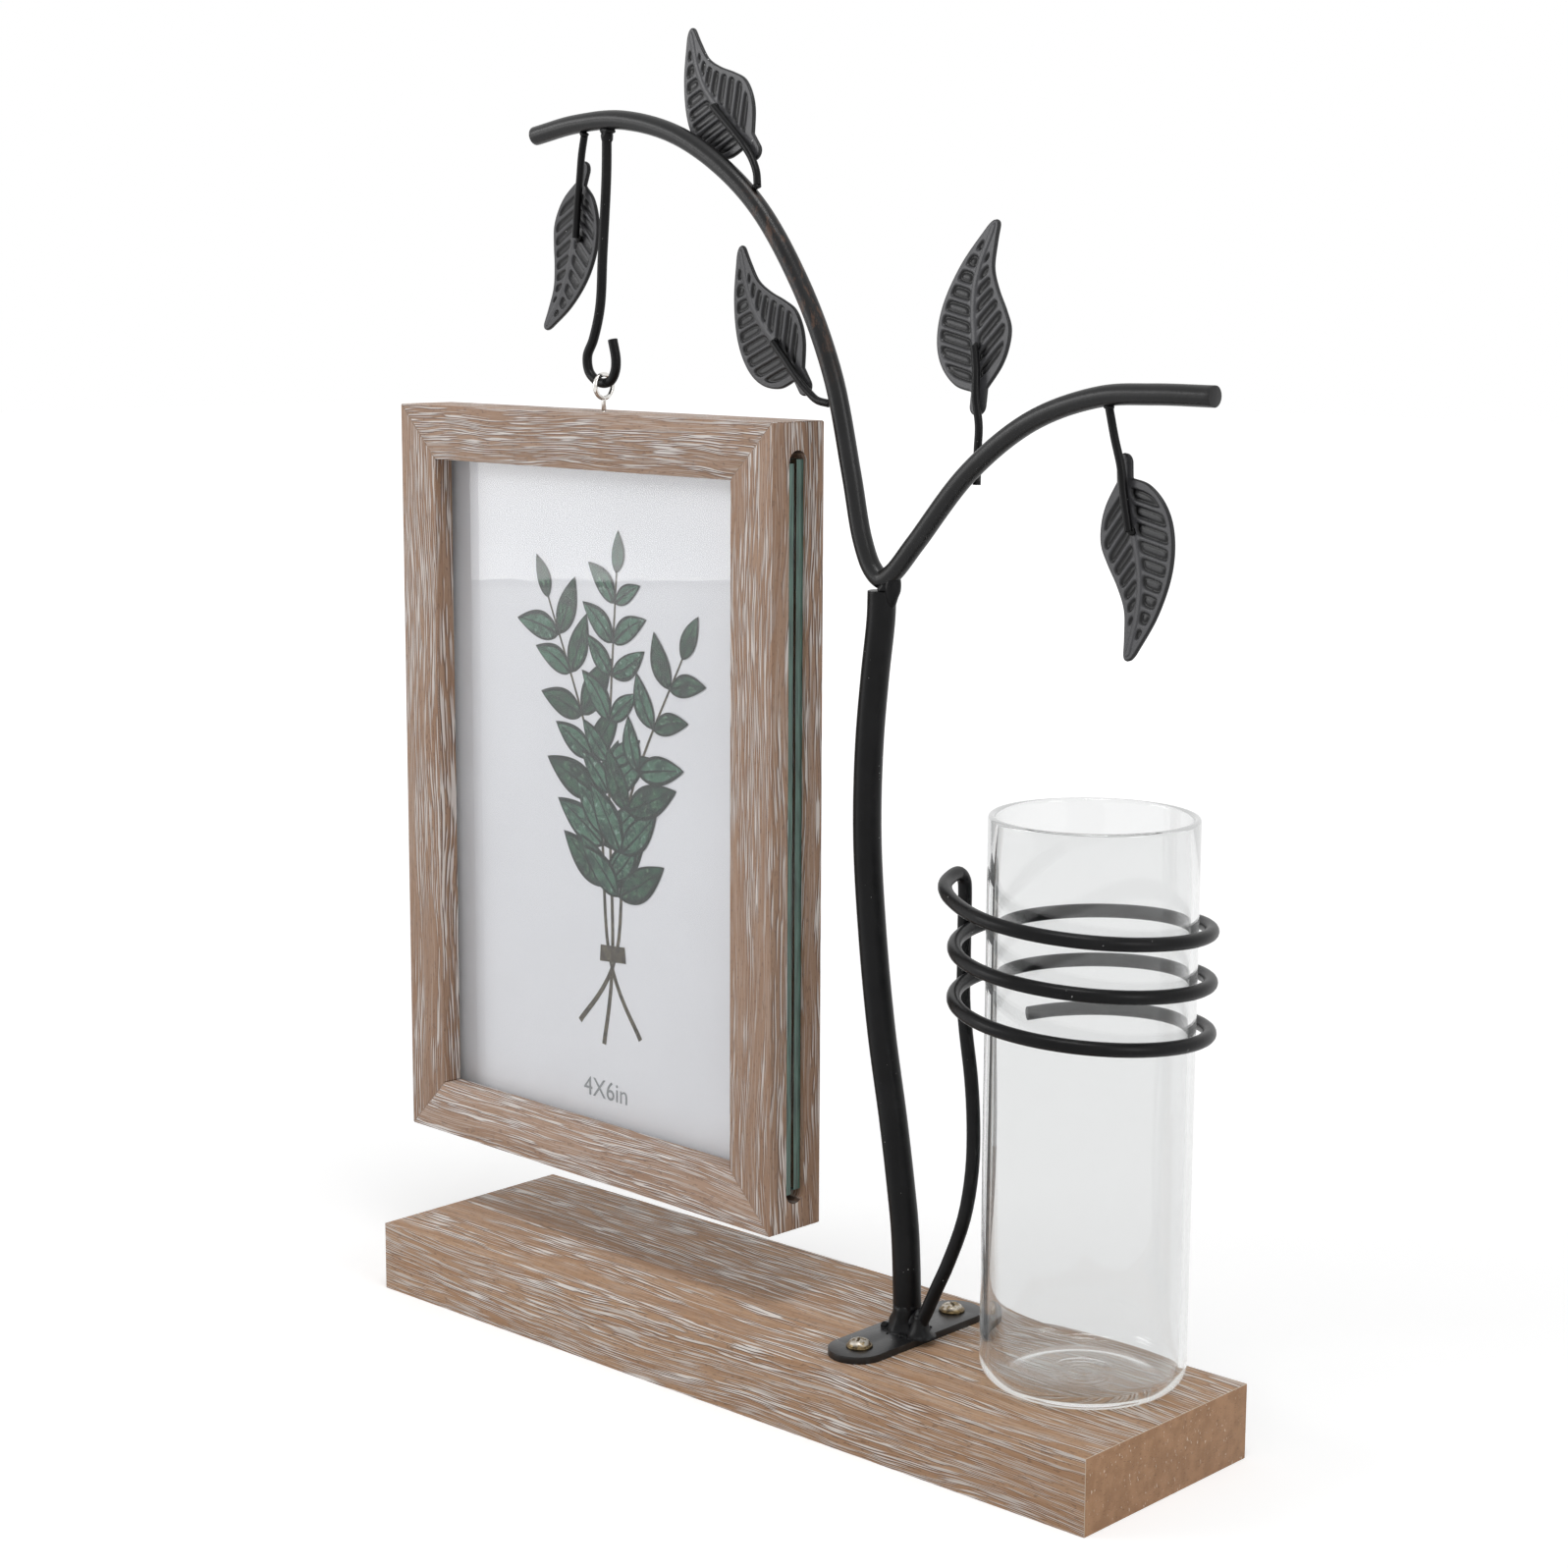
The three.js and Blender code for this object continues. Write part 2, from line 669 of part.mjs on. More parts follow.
// A rail's face: long outer edge, short inner edge, mitred ends
function railGeometry(length, opening, turn, reach) {
  const back = mitreGap / Math.SQRT2;
  const shape = new THREE.Shape([
    new THREE.Vector2(-opening / 2 + back, 0),
    new THREE.Vector2(opening / 2 - back, 0),
    new THREE.Vector2(length / 2 - back, railWidth),
    new THREE.Vector2(-length / 2 + back, railWidth),
  ]);
  return standUp(shape, frameDepth).translate(0, 0, reach).rotateY(turn);
}
const eyeHole = uprightCylinder(eyeWire + runGap, eyeThread + 2, frameHeight / 2 - eyeThread - 1, 12);
eyeHole.translate(eyeOffset, 0, 0);
const rails = {
  top: [railGeometry(frameWidth, openWidth, 0, openHeight / 2), [groove, eyeHole]],
  bottom: [railGeometry(frameWidth, openWidth, Math.PI, openHeight / 2), [groove]],
  left: [railGeometry(frameHeight, openHeight, -Math.PI / 2, openWidth / 2), [groove]],
  right: [railGeometry(frameHeight, openHeight, Math.PI / 2, openWidth / 2), [groove, sideSlot()]],
};
for (const [place, [blank, cutters]] of Object.entries(rails)) {
  addPiece(`frame_rail_${place}`, cut(blank, cutters), limedWood, frame);
}

// Panes and card, one behind the other in the grooves
const restZ = -grooveHeight / 2 + runGap + paneHeight / 2;
const paneY = (cardThick + paneThick) / 2 + slideGap;
const paneX = (paneLeft + paneRight) / 2;
const sheets = [
  ["pane_front", paneWidth, paneThick, paneX, -paneY, restZ, clearGlass],
  ["picture_card", cardWidth, cardThick, 0, 0, restZ, cardPaper],
  ["pane_back", paneWidth, paneThick, paneX, paneY, restZ + paneStep, clearGlass],
];
for (const [name, width, thick, x, y, z, finish] of sheets) {
  addPiece(name, new THREE.BoxGeometry(width, thick, paneHeight), finish, frame).position.set(x, y, z);
}

// Screw eye: ring across the hook's wire, neck and thread in the top rail
const ring = new THREE.TorusGeometry(eyeRadius, eyeWire, 8, 24).rotateY(Math.PI / 2);
const shank = uprightCylinder(eyeWire, eyeNeck + eyeWire + eyeThread, -eyeRadius - eyeWire - eyeNeck - eyeThread, 12);
addPiece("screw_eye", join([ring, shank]), nickel).position.set(hookX, treeY, ringZ);

export default planter;
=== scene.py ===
import bpy, math, random
import numpy as np
from mathutils import Matrix, Vector, noise


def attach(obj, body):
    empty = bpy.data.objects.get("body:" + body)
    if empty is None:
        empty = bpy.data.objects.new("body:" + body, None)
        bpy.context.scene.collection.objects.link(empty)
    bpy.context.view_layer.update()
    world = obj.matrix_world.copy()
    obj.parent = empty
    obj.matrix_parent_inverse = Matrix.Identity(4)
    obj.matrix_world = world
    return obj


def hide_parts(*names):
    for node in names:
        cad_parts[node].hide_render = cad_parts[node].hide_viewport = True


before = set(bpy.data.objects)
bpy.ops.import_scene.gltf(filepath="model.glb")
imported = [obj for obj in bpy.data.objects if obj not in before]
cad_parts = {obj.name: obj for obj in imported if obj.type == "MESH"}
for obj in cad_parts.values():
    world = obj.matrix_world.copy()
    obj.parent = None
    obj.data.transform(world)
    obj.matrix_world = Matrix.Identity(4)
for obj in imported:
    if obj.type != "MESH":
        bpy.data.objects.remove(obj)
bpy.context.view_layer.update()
mm = 0.001
treeY = 0.6                # the metal tree stands in this plane, in mm
glassX, glassY = 74.8, 6   # the glass tube's axis
boardTop = 15.4
plateTop = 16.9
frameTurn = math.radians(-2.2)
frameCentre = Vector((-55.0991, 0.6461, 115.9))


# shader maths: one class wraps a socket, the other builds a material
class Signal:
    # one socket of a node tree, so that shader maths reads as a sum
    def __init__(self, look, socket):
        self.look = look
        self.socket = socket

    def math(self, operation, first, second=None):
        sockets = {0: first} if second is None else {0: first, 1: second}
        return self.look.node("Math", {"operation": operation}, sockets)

    def __add__(self, other): return self.math("ADD", self, other)
    def __radd__(self, other): return self.math("ADD", other, self)
    def __sub__(self, other): return self.math("SUBTRACT", self, other)
    def __rsub__(self, other): return self.math("SUBTRACT", other, self)
    def __mul__(self, other): return self.math("MULTIPLY", self, other)
    def __rmul__(self, other): return self.math("MULTIPLY", other, self)
    def __truediv__(self, other): return self.math("DIVIDE", self, other)
    def __rtruediv__(self, other): return self.math("DIVIDE", other, self)
    def __abs__(self): return self.math("ABSOLUTE", self)
    def root(self): return self.math("SQRT", self)

    def between(self, low, high):
        # 0 below low, 1 above high, smooth in the middle
        return self.look.node("MapRange", {"interpolation_type": "SMOOTHSTEP", "clamp": True},
                              {0: self, 1: low, 2: high, 3: 0.0, 4: 1.0})


class Look:
    # a material, or the world, that is built up node by node
    def __init__(self, name, world=None):
        self.material = world or bpy.data.materials.new(name)
        self.material.use_nodes = True
        self.tree = self.material.node_tree
        self.tree.nodes.clear()

    def node(self, kind, settings, sockets, out=0):
        made = self.tree.nodes.new("ShaderNode" + kind)
        for key, value in settings.items():
            if key == "stops":
                ramp = made.color_ramp.elements
                while len(ramp) < len(value):
                    ramp.new(0.5)
                for stop, (place, colour) in zip(ramp, value):
                    stop.position = place
                    stop.color = colour
            else:
                setattr(made, key, value)
        for key, value in sockets.items():
            if isinstance(value, Signal):
                self.tree.links.new(value.socket, made.inputs[key])
            else:
                made.inputs[key].default_value = value
        return Signal(self, made.outputs[out] if len(made.outputs) else None)

    def coordinates(self, turn=0.0, shift=(0, 0, 0)):
        # object coordinates in millimetres, turned about Z
        place = self.node("TexCoord", {}, {}, out=3)
        return self.node("Mapping", {}, {0: place, 1: shift, 2: (0, 0, turn), 3: (1000, 1000, 1000)})

    def parts(self, vector):
        apart = self.node("SeparateXYZ", {}, {0: vector})
        outputs = apart.socket.node.outputs
        return [Signal(self, outputs[i]) for i in range(3)]

    def vector(self, x, y, z):
        return self.node("CombineXYZ", {}, {0: x, 1: y, 2: z})

    def clouds(self, place, scale=1.0, detail=2.0, roughness=0.5, distortion=0.0):
        # noise at a vector, or at three numbers or signals
        vector = self.vector(*place) if isinstance(place, tuple) else place
        return self.node("TexNoise", {}, {"Vector": vector, "Scale": scale, "Detail": detail,
                                          "Roughness": roughness, "Distortion": distortion})

    def blend(self, share, first, second):
        return self.node("Mix", {"data_type": "RGBA"}, {0: share, 6: first, 7: second}, out=2)

    def bump(self, height, distance, strength):
        return self.node("Bump", {}, {"Strength": strength, "Distance": distance, "Height": height})

    def surface(self, **sockets):
        names = {"colour": "Base Color", "rough": "Roughness", "metal": "Metallic", "normal": "Normal",
                 "ior": "IOR", "clear": "Transmission Weight", "gloss": "Specular IOR Level"}
        return self.node("BsdfPrincipled", {}, {names[key]: value for key, value in sockets.items()})

    def close(self, shader):
        self.node("OutputMaterial", {}, {0: shader})
        return self.material


def paint(red, green, blue):
    # screen colour 0-255 to the linear values a shader takes
    linear = [c / 12.92 if c <= 0.04045 else ((c + 0.055) / 1.055) ** 2.4
              for c in (red / 255, green / 255, blue / 255)]
    return (*linear, 1.0)


# the finishes, colours as seen on screen
boardOak = {
    "brown": paint(160, 123, 92), "tan": paint(182, 149, 120), "deep": paint(90, 71, 61),
    "lime": paint(228, 221, 215), "end": paint(170, 132, 100), "endDark": paint(154, 118, 88),
    "edge": paint(206, 190, 172), "speck": paint(222, 208, 192), "plain": 0.49, "faint": 0.16,
    "backLines": 0.55, "frontLines": 0.5, "calmEnd": 0.4,
}
frameOak = {
    "brown": paint(158, 127, 104), "tan": paint(178, 150, 130), "deep": paint(104, 84, 76),
    "lime": paint(226, 219, 214), "plain": 0.46, "faint": 0.3,
}
stileOak = {
    "brown": paint(152, 120, 97), "tan": paint(168, 139, 118), "deep": paint(112, 90, 78),
    "lime": paint(216, 207, 201), "plain": 0.475, "faint": 0.2,
    "slotMiddle": 1.53, "slotShade": paint(62, 47, 38),
}


def limedOakLook(name, tones, along, turn=0.0, shift=(0, 0, 0)):
    # brown oak with fine streaks everywhere, and long patches where white lime fills the grain
    look = Look(name)
    x, y, z = look.parts(look.coordinates(turn, shift))
    facing = [abs(part) for part in look.parts(look.node("TexCoord", {}, {}, out=1))]
    run, deep, face = (x, y, z) if along == "x" else (z, y, x)
    front = facing[1].between(0.5, 0.8)                               # 1 on the front and back faces
    across = deep + (face - deep) * front
    layer = (deep + face) / 28
    slow = look.clouds((run / 60, across / 45, layer), detail=1) - 0.5
    quick = look.clouds((run / 12, across / 9, layer), detail=1) - 0.5
    across = across + slow * 7 + quick * 0.7
    pitch = 0.46 - front * 0.22
    streak = look.clouds((run / 11, across / pitch, layer), detail=1, roughness=0.4)
    # under is the pale streak moved a little across: where it is high the wood is drawn dark, a painted
    # shadow beside each pale streak
    under = look.clouds((run / 11, across / pitch + 0.6, layer), detail=1, roughness=0.4)
    hair = look.clouds((run / 7 + 3.1, across / pitch * 1.3, layer + 5), detail=1)
    broad = look.clouds((run / 45 + 5, across / 2.6, layer + 9), detail=2)
    patch = look.clouds((run / 62 + 7.3, across / 4.4, layer + 2), detail=2, roughness=0.6)
    zone = patch.between(tones["plain"] - 0.04, tones["plain"] + 0.06)
    if "backLines" in tones:
        # the board's back half and its front face are lined all over, its end by the glass less
        bare = (1 - zone) * (1 - y.between(-3, 6) * tones["backLines"]) * (1 - front * tones["frontLines"])
        zone = (1 - bare) * (1 - x.between(50, 85) * tones["calmEnd"])
    limed = streak.between(0.515, 0.595) * (zone * (0.97 - tones["faint"]) + tones["faint"])
    # dark: the painted shadow beside each pale streak, stronger in the limed patches, plus darker hair grain
    dark = under.between(0.48, 0.58) * (zone * 0.84 + 0.1) + (1 - hair.between(0.3, 0.42)) * 0.3
    colour = look.blend(broad.between(0.35, 0.65) * 0.7 + hair * 0.3, tones["brown"], tones["tan"])
    colour = look.blend(dark, colour, tones["deep"])
    pores = look.clouds((run / 1.5, across / 0.5, layer + 4), detail=1).between(0.6, 0.68)
    colour = look.blend(pores * 0.42, colour, tones["deep"])
    colour = look.blend(limed, colour, tones["lime"])
    if "slotMiddle" in tones:
        # painted shade inside the slot that the panes slide out of
        inSlot = (1 - abs(y - tones["slotMiddle"]).between(1.6, 1.9)) * (1 - facing[0].between(0.3, 0.6))
        colour = look.blend(inSlot * 0.85, colour, tones["slotShade"])
    rough = 0.62 - limed * 0.1 + dark * 0.06
    height = streak * 0.6 + hair * 0.4
    if "end" in tones:
        # sawn ends are plain board, with a pale line where the face ends
        mottle = look.clouds((x / 3, y / 3, z / 3), detail=4)
        chips = look.clouds((x, y / 1.2, z / 0.25), detail=2)
        specks = look.clouds((x / 0.6, y / 0.42, z / 0.9), detail=2).between(0.67, 0.71)
        specks = specks * look.clouds((x / 6, y / 6, z / 4 + 3), detail=1).between(0.4, 0.55)
        plain = look.blend(mottle.between(0.35, 0.65), tones["end"], tones["endDark"])
        plain = look.blend((1 - chips.between(0.3, 0.4)) * 0.45, plain, tones["deep"])
        plain = look.blend(specks * 0.8, plain, tones["speck"])
        onEdge = facing[0].between(0.15, 0.4)
        onEnd = facing[0].between(0.85, 0.97)
        colour = look.blend(onEdge * 0.8, colour, tones["edge"])
        colour = look.blend(onEnd, colour, plain)
        height = height * (1 - onEnd) + (mottle + chips) * onEnd * 0.5
    normal = look.bump(height, 0.00012, 0.6)
    return look.close(look.surface(colour=colour, rough=rough, normal=normal, gloss=0.35))


def coatedSteelLook(name, worn=0.0, flecks=0.0, pressed=False, gloss=0.14):
    # black powder coat, with an orange-peel skin, faint rub marks and a few pale flecks
    look = Look(name)
    place = look.coordinates()
    x, y, z = look.parts(place)
    skin = look.clouds(place, scale=1.9, detail=2, roughness=0.55)
    cast = look.clouds(place, scale=0.11, detail=3)
    rub = look.clouds(place, scale=0.55, detail=4, roughness=0.7)
    colour = look.blend(cast.between(0.3, 0.7), paint(13, 13, 14), paint(22, 22, 23))
    colour = look.blend(rub.between(0.6, 0.72) * 0.3, colour, paint(42, 41, 41))
    if pressed:
        # painted light on the leaves: the high faces are painted grey, a painted sheen, while the pressed
        # cells and the rim keep the black, a painted shade
        groove = look.node("Attribute", {"attribute_name": "groove"}, {}, out=2)
        colour = look.blend(1 - groove, colour, look.blend(rub, paint(60, 60, 62), paint(80, 80, 83)))
    if worn:
        # the long arm is scuffed where it bends over
        high = z.between(205, 222) * (1 - z.between(240, 250))
        zone = high * x.between(-22, -8) * (1 - x.between(16, 24))
        scuff = look.clouds((x / 2.5, y / 1.2, z / 5), detail=4, roughness=0.7)
        scuff = scuff.between(0.5, 0.64)
        colour = look.blend(zone * scuff * worn, colour, paint(84, 62, 50))
    if flecks:
        dots = look.clouds(place, scale=1.9, detail=0).between(0.83, 0.85)
        few = look.clouds(place, scale=0.13, detail=0).between(0.52, 0.62)
        colour = look.blend(dots * few * flecks, colour, paint(215, 215, 215))
    rough = 0.24 + cast * 0.1 + rub * 0.1
    normal = look.bump(skin + rub * 0.3, 0.00006, 0.5)
    return look.close(look.surface(colour=colour, rough=rough, normal=normal, gloss=gloss))


def bronzeLook():
    # old bronze plate, dark on the flange and worn to bright metal on the dome
    look = Look("bronzeScrew")
    place = look.coordinates()
    height = look.parts(place)[2]
    tarnish = look.clouds(place, scale=0.9, detail=4, roughness=0.65)
    scratch = look.clouds(place, scale=3.5, detail=2)
    worn = height.between(17.35, 18.2) * tarnish.between(0.4, 0.56)
    colour = look.blend(tarnish.between(0.35, 0.68), paint(132, 114, 82), paint(58, 48, 36))
    colour = look.blend(worn * 0.85, colour, paint(206, 200, 190))
    rough = 0.28 + tarnish * 0.3
    normal = look.bump(scratch, 0.00005, 0.4)
    return look.close(look.surface(colour=colour, rough=rough, metal=1.0, normal=normal))


def nickelLook():
    look = Look("brightNickel")
    place = look.coordinates()
    haze = look.clouds(place, scale=0.8, detail=4, roughness=0.6)
    colour = look.blend(haze.between(0.35, 0.7), paint(226, 224, 220), paint(188, 184, 178))
    rough = 0.1 + haze * 0.14
    normal = look.bump(look.clouds(place, scale=2.4, detail=2), 0.00003, 0.35)
    return look.close(look.surface(colour=colour, rough=rough, metal=1.0, normal=normal))


def glassLook(name, tint, ior):
    # clear glass; shadow rays pass, so what stands behind it stays lit
    look = Look(name)
    place = look.coordinates()
    haze = look.clouds(place, scale=0.25, detail=3)
    rough = haze.between(0.6, 0.8) * 0.008
    normal = look.bump(look.clouds(place, scale=0.12, detail=1), 0.00003, 0.2)
    body = look.surface(colour=tint, rough=rough, clear=1.0, ior=ior, normal=normal)
    return look, place, body


def lightPasses(look, body):
    # light reaches what stands behind the glass straight, not bent
    rays = look.node("LightPath", {}, {}, out=1)
    ray = (rays + Signal(look, rays.socket.node.outputs["Is Diffuse Ray"])).between(0.0, 0.5)
    gap = look.node("BsdfTransparent", {}, {0: (0.965, 0.975, 0.97, 1)})
    return look.node("MixShader", {}, {0: ray, 1: body, 2: gap})


footLight = {"wall": (18.4, 18.8), "floor": (17.0, 17.3), "line": (15.45, 15.8), "boardTone": (18.5, 23),
             "fade": (21, 26)}


def tubeLook():
    # where rays stay caught in the thick rim and foot, the glass glows instead, a painted light as from a
    # bright room: pale grey high up, the wood's tone near the board as a painted reflection, and two painted
    # highlight lines, one under the foot and one round the floor inside
    look, place, body = glassLook("tubeGlass", (0.87, 0.875, 0.875, 1), ior=1.45)
    bounces = look.node("LightPath", {}, {}, out=8).socket.node.outputs
    caught = Signal(look, bounces["Glossy Depth"]).between(1.2, 1.8)
    caught = caught + Signal(look, bounces["Ray Depth"]).between(6.2, 6.8)
    x, y, z = look.parts(place)
    across, deep = x - glassX, y - glassY
    reach = (across * across + deep * deep).root()
    inside = (1 - reach.between(*footLight["wall"])) * z.between(*footLight["floor"])
    # bright marks the painted highlight lines; tone is the glow's painted colour
    bright = (1 - (1 - inside) * z.between(*footLight["line"])).between(0.0, 0.9)
    tone = look.blend(z.between(*footLight["boardTone"]), (0.42, 0.35, 0.3, 1), (0.62, 0.625, 0.625, 1))
    tone = look.blend(bright * (1 - z.between(*footLight["fade"])), tone, (0.82, 0.82, 0.8, 1))
    pale = look.node("Emission", {}, {0: tone, 1: 1.0})
    glass = look.node("MixShader", {}, {0: caught.between(0.0, 0.9), 1: body, 2: pale})
    return look.close(lightPasses(look, glass))


def paneLook():
    # a cut edge is ground, and looks green down its length
    look, place, body = glassLook("paneGlass", (0.95, 0.955, 0.955, 1), ior=1.25)
    facing = abs(look.parts(look.node("TexCoord", {}, {}, out=1))[1])
    x, y, z = look.parts(place)
    streak = look.clouds((x, y / 0.5, z / 9), detail=3)
    shade = look.blend(streak.between(0.3, 0.7), paint(50, 74, 66), paint(88, 122, 110))
    ground = look.surface(colour=shade, rough=0.25 + streak * 0.15, gloss=0.6,
                          normal=look.bump(streak, 0.00004, 0.3))
    cut = 1 - facing.between(0.3, 0.7)
    return look.close(look.node("MixShader", {}, {0: cut, 1: lightPasses(look, body), 2: ground}))


def cardLook():
    look = Look("printedCard")
    place = look.coordinates()
    tone = look.clouds(place, scale=0.02, detail=2)
    fibre = look.clouds(place, scale=2.2, detail=3, roughness=0.6)
    colour = look.blend(tone.between(0.3, 0.7), paint(236, 235, 241), paint(241, 240, 246))
    rough = 0.5 + fibre * 0.1
    return look.close(look.surface(colour=colour, rough=rough, normal=look.bump(fibre, 0.00002, 0.03)))


def washLook(name, dark, middle, pale, scale):
    # a watercolour wash: pigment pools, pale where the water was
    look = Look(name)
    place = look.coordinates()
    pool = look.clouds(place, scale=scale, detail=3, roughness=0.6, distortion=0.6)
    grainy = look.clouds(place, scale=scale * 9, detail=2)
    bleed = look.clouds(place, scale=scale * 2.6, detail=2, distortion=1.2)
    colour = look.blend(pool.between(0.36, 0.62), dark, middle)
    colour = look.blend(bleed.between(0.56, 0.74) * 0.75, colour, pale)
    colour = look.blend(grainy * 0.18, colour, dark)
    return look.close(look.surface(colour=colour, rough=0.5 + grainy * 0.1,
                                   normal=look.bump(grainy, 0.00002, 0.2)))


boardWood = limedOakLook("limedOakBoard", boardOak, "x")
railWood = limedOakLook("limedOakAcross", frameOak, "x", turn=-frameTurn, shift=(31, 4, 9))
stileWood = limedOakLook("limedOakUpright", stileOak, "z", turn=-frameTurn, shift=(12, 3, 50))
steel = coatedSteelLook("coatedSteel", flecks=0.45)
plateSteel = coatedSteelLook("coatedSteelPlate", flecks=0.8, gloss=0.5)
wornSteel = coatedSteelLook("coatedSteelRubbed", worn=0.75, gloss=0.3)
leafSteel = coatedSteelLook("coatedSteelPressed", pressed=True, gloss=0.27)
fleckedSteel = coatedSteelLook("coatedSteelFlecked", flecks=0.9, pressed=True, gloss=0.27)
bronze = bronzeLook()
nickel = nickelLook()
tubeGlass = tubeLook()
paneGlass = paneLook()
card = cardLook()
leafWash = washLook("leafWash", paint(8, 26, 19), paint(40, 78, 58), paint(126, 160, 138), scale=0.42)
paleWash = washLook("paleWash", paint(24, 52, 41), paint(70, 108, 90), paint(156, 182, 168), scale=0.4)
edgeWash = washLook("edgeWash", paint(4, 9, 8), paint(14, 26, 22), paint(38, 60, 50), scale=0.3)
glueBrown = washLook("mitreBrown", paint(136, 110, 92), paint(170, 146, 128), paint(200, 184, 172),
                     scale=0.9)
stemWash = washLook("stemWash", paint(52, 46, 40), paint(92, 84, 70), paint(140, 130, 112), scale=0.5)
inkLook = washLook("inkGrey", paint(140, 142, 146), paint(152, 154, 158), paint(172, 174, 178), scale=0.6)
print("materials ready")


# helpers for picking, naming and finishing a piece
def clear():
    # object mode, with nothing selected
    if bpy.context.object and bpy.context.object.mode != "OBJECT":
        bpy.ops.object.mode_set(mode="OBJECT")
    bpy.ops.object.select_all(action="DESELECT")


def alone(piece):
    # only this piece selected and active
    clear()
    piece.select_set(True)
    bpy.context.view_layer.objects.active = piece


def begin(name):
    # the primitive that was just added becomes the piece
    piece = bpy.context.object
    piece.name = name
    piece.data.name = name
    return piece


def applyModifier(piece, kind, **settings):
    alone(piece)
    bpy.ops.object.modifier_add(type=kind)
    modifier = piece.modifiers[-1]
    for key, value in settings.items():
        setattr(modifier, key, value)
    bpy.ops.object.modifier_apply(modifier=modifier.name)


def ease(piece, width, segments, degrees):
    # rounds the edges that turn by more than so many degrees, width in mm
    applyModifier(piece, "BEVEL", width=width * mm, segments=segments, limit_method="ANGLE",
                  angle_limit=math.radians(degrees), use_clamp_overlap=True)


def editAll(piece):
    # edit mode, with everything selected
    alone(piece)
    bpy.ops.object.mode_set(mode="EDIT")
    bpy.ops.mesh.select_all(action="SELECT")


def tidyMesh(piece, distance=1e-6, flip=True):
    # doubles merged, and faces turned outwards
    editAll(piece)
    bpy.ops.mesh.remove_doubles(threshold=distance)
    if flip:
        bpy.ops.mesh.normals_make_consistent(inside=False)
    bpy.ops.object.mode_set(mode="OBJECT")


def smooth(piece, degrees):
    alone(piece)
    bpy.ops.object.shade_smooth_by_angle(angle=math.radians(degrees))


def setPlace(piece):
    alone(piece)
    bpy.ops.object.transform_apply(location=True, rotation=True, scale=True)


def hand(piece, material, body, nodes=()):
    # the finished piece gets its finish, its body and the nodes it stands for
    setPlace(piece)
    piece.data.materials.clear()
    piece.data.materials.append(material)
    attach(piece, body)
    if nodes:
        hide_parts(*nodes)
    return piece


def joined(name, pieces):
    alone(pieces[0])
    for piece in pieces[1:]:
        piece.select_set(True)
    if len(pieces) > 1:
        bpy.ops.object.join()
    return begin(name)


def copied(piece, name):
    alone(piece)
    bpy.ops.object.duplicate()
    return begin(name)


def easedCopy(name, node, width, segments=3):
    # a CAD node's own shape, merged, with its sharp edges eased
    piece = copied(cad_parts[node], name)
    for key in list(piece.keys()):
        del piece[key]
    piece.parent = None
    tidyMesh(piece, flip=False)
    editAll(piece)
    bpy.ops.mesh.dissolve_limited(angle_limit=math.radians(0.5))
    bpy.ops.object.mode_set(mode="OBJECT")
    ease(piece, width, segments, 40)
    smooth(piece, 30)
    return piece


def curvePoints(points, perSpan):
    # a smooth curve through the points, without loops where they lie close, its ends mirrored
    knots = [np.array(p, float) for p in points]
    knots = [2 * knots[0] - knots[1]] + knots + [2 * knots[-1] - knots[-2]]
    line = []
    for i in range(1, len(knots) - 2):
        p0, p1, p2, p3 = knots[i - 1:i + 3]
        dt0, dt1, dt2 = [max(np.linalg.norm(b - a) ** 0.5, 1e-4) for a, b in ((p0, p1), (p1, p2), (p2, p3))]
        t1 = ((p1 - p0) / dt0 - (p2 - p0) / (dt0 + dt1) + (p2 - p1) / dt1) * dt1
        t2 = ((p2 - p1) / dt1 - (p3 - p1) / (dt1 + dt2) + (p3 - p2) / dt2) * dt1
        for step in range(perSpan):
            t = step / perSpan
            line.append(p1 + t1 * t + (-3 * p1 + 3 * p2 - 2 * t1 - t2) * t ** 2
                        + (2 * p1 - 2 * p2 + t1 + t2) * t ** 3)
    line.append(knots[-2])
    return line


def bentWire(name, points, radius, perSpan=8, ends=0.25, resolution=6):
    # a round wire along points in mm: a bevelled curve, made mesh, its cut ends eased
    clear()
    bpy.ops.curve.primitive_bezier_curve_add()
    piece = begin(name)
    piece.data.dimensions = "3D"
    piece.data.splines.clear()
    line = curvePoints(points, perSpan)
    spline = piece.data.splines.new("POLY")
    spline.points.add(len(line) - 1)
    for knot, place in zip(spline.points, line):
        knot.co = (*(place * mm), 1)
    piece.data.bevel_depth = radius * mm
    piece.data.bevel_resolution = resolution
    piece.data.use_fill_caps = True
    alone(piece)
    bpy.ops.object.convert(target="MESH")
    piece = bpy.context.object
    tidyMesh(piece, 1e-7)
    ease(piece, ends, 3, 55)
    smooth(piece, 40)
    return piece


def turned(name, section, centre, steps):
    # a section of (radius, height) pairs in mm, drawn by extruding one point, then spun
    clear()
    start = Vector((centre[0] + section[0][0], centre[1], centre[2] + section[0][1])) * mm
    bpy.ops.mesh.primitive_plane_add(size=0.001, location=start)
    piece = begin(name)
    editAll(piece)
    bpy.ops.mesh.merge(type="CENTER")
    for (r0, z0), (r1, z1) in zip(section, section[1:]):
        step = Vector((r1 - r0, 0, z1 - z0)) * mm
        bpy.ops.mesh.extrude_vertices_move(TRANSFORM_OT_translate={"value": step})
    bpy.ops.mesh.select_all(action="SELECT")
    bpy.ops.mesh.spin(steps=steps, angle=2 * math.pi, center=Vector(centre) * mm, axis=(0, 0, 1))
    bpy.ops.object.mode_set(mode="OBJECT")
    tidyMesh(piece, 2e-6)
    return piece


def arc(cx, cz, radius, start, end, count):
    # points of a section's rounded corner, angles in degrees
    return [(cx + radius * math.cos(math.radians(start + (end - start) * i / count)),
             cz + radius * math.sin(math.radians(start + (end - start) * i / count)))
            for i in range(count + 1)]


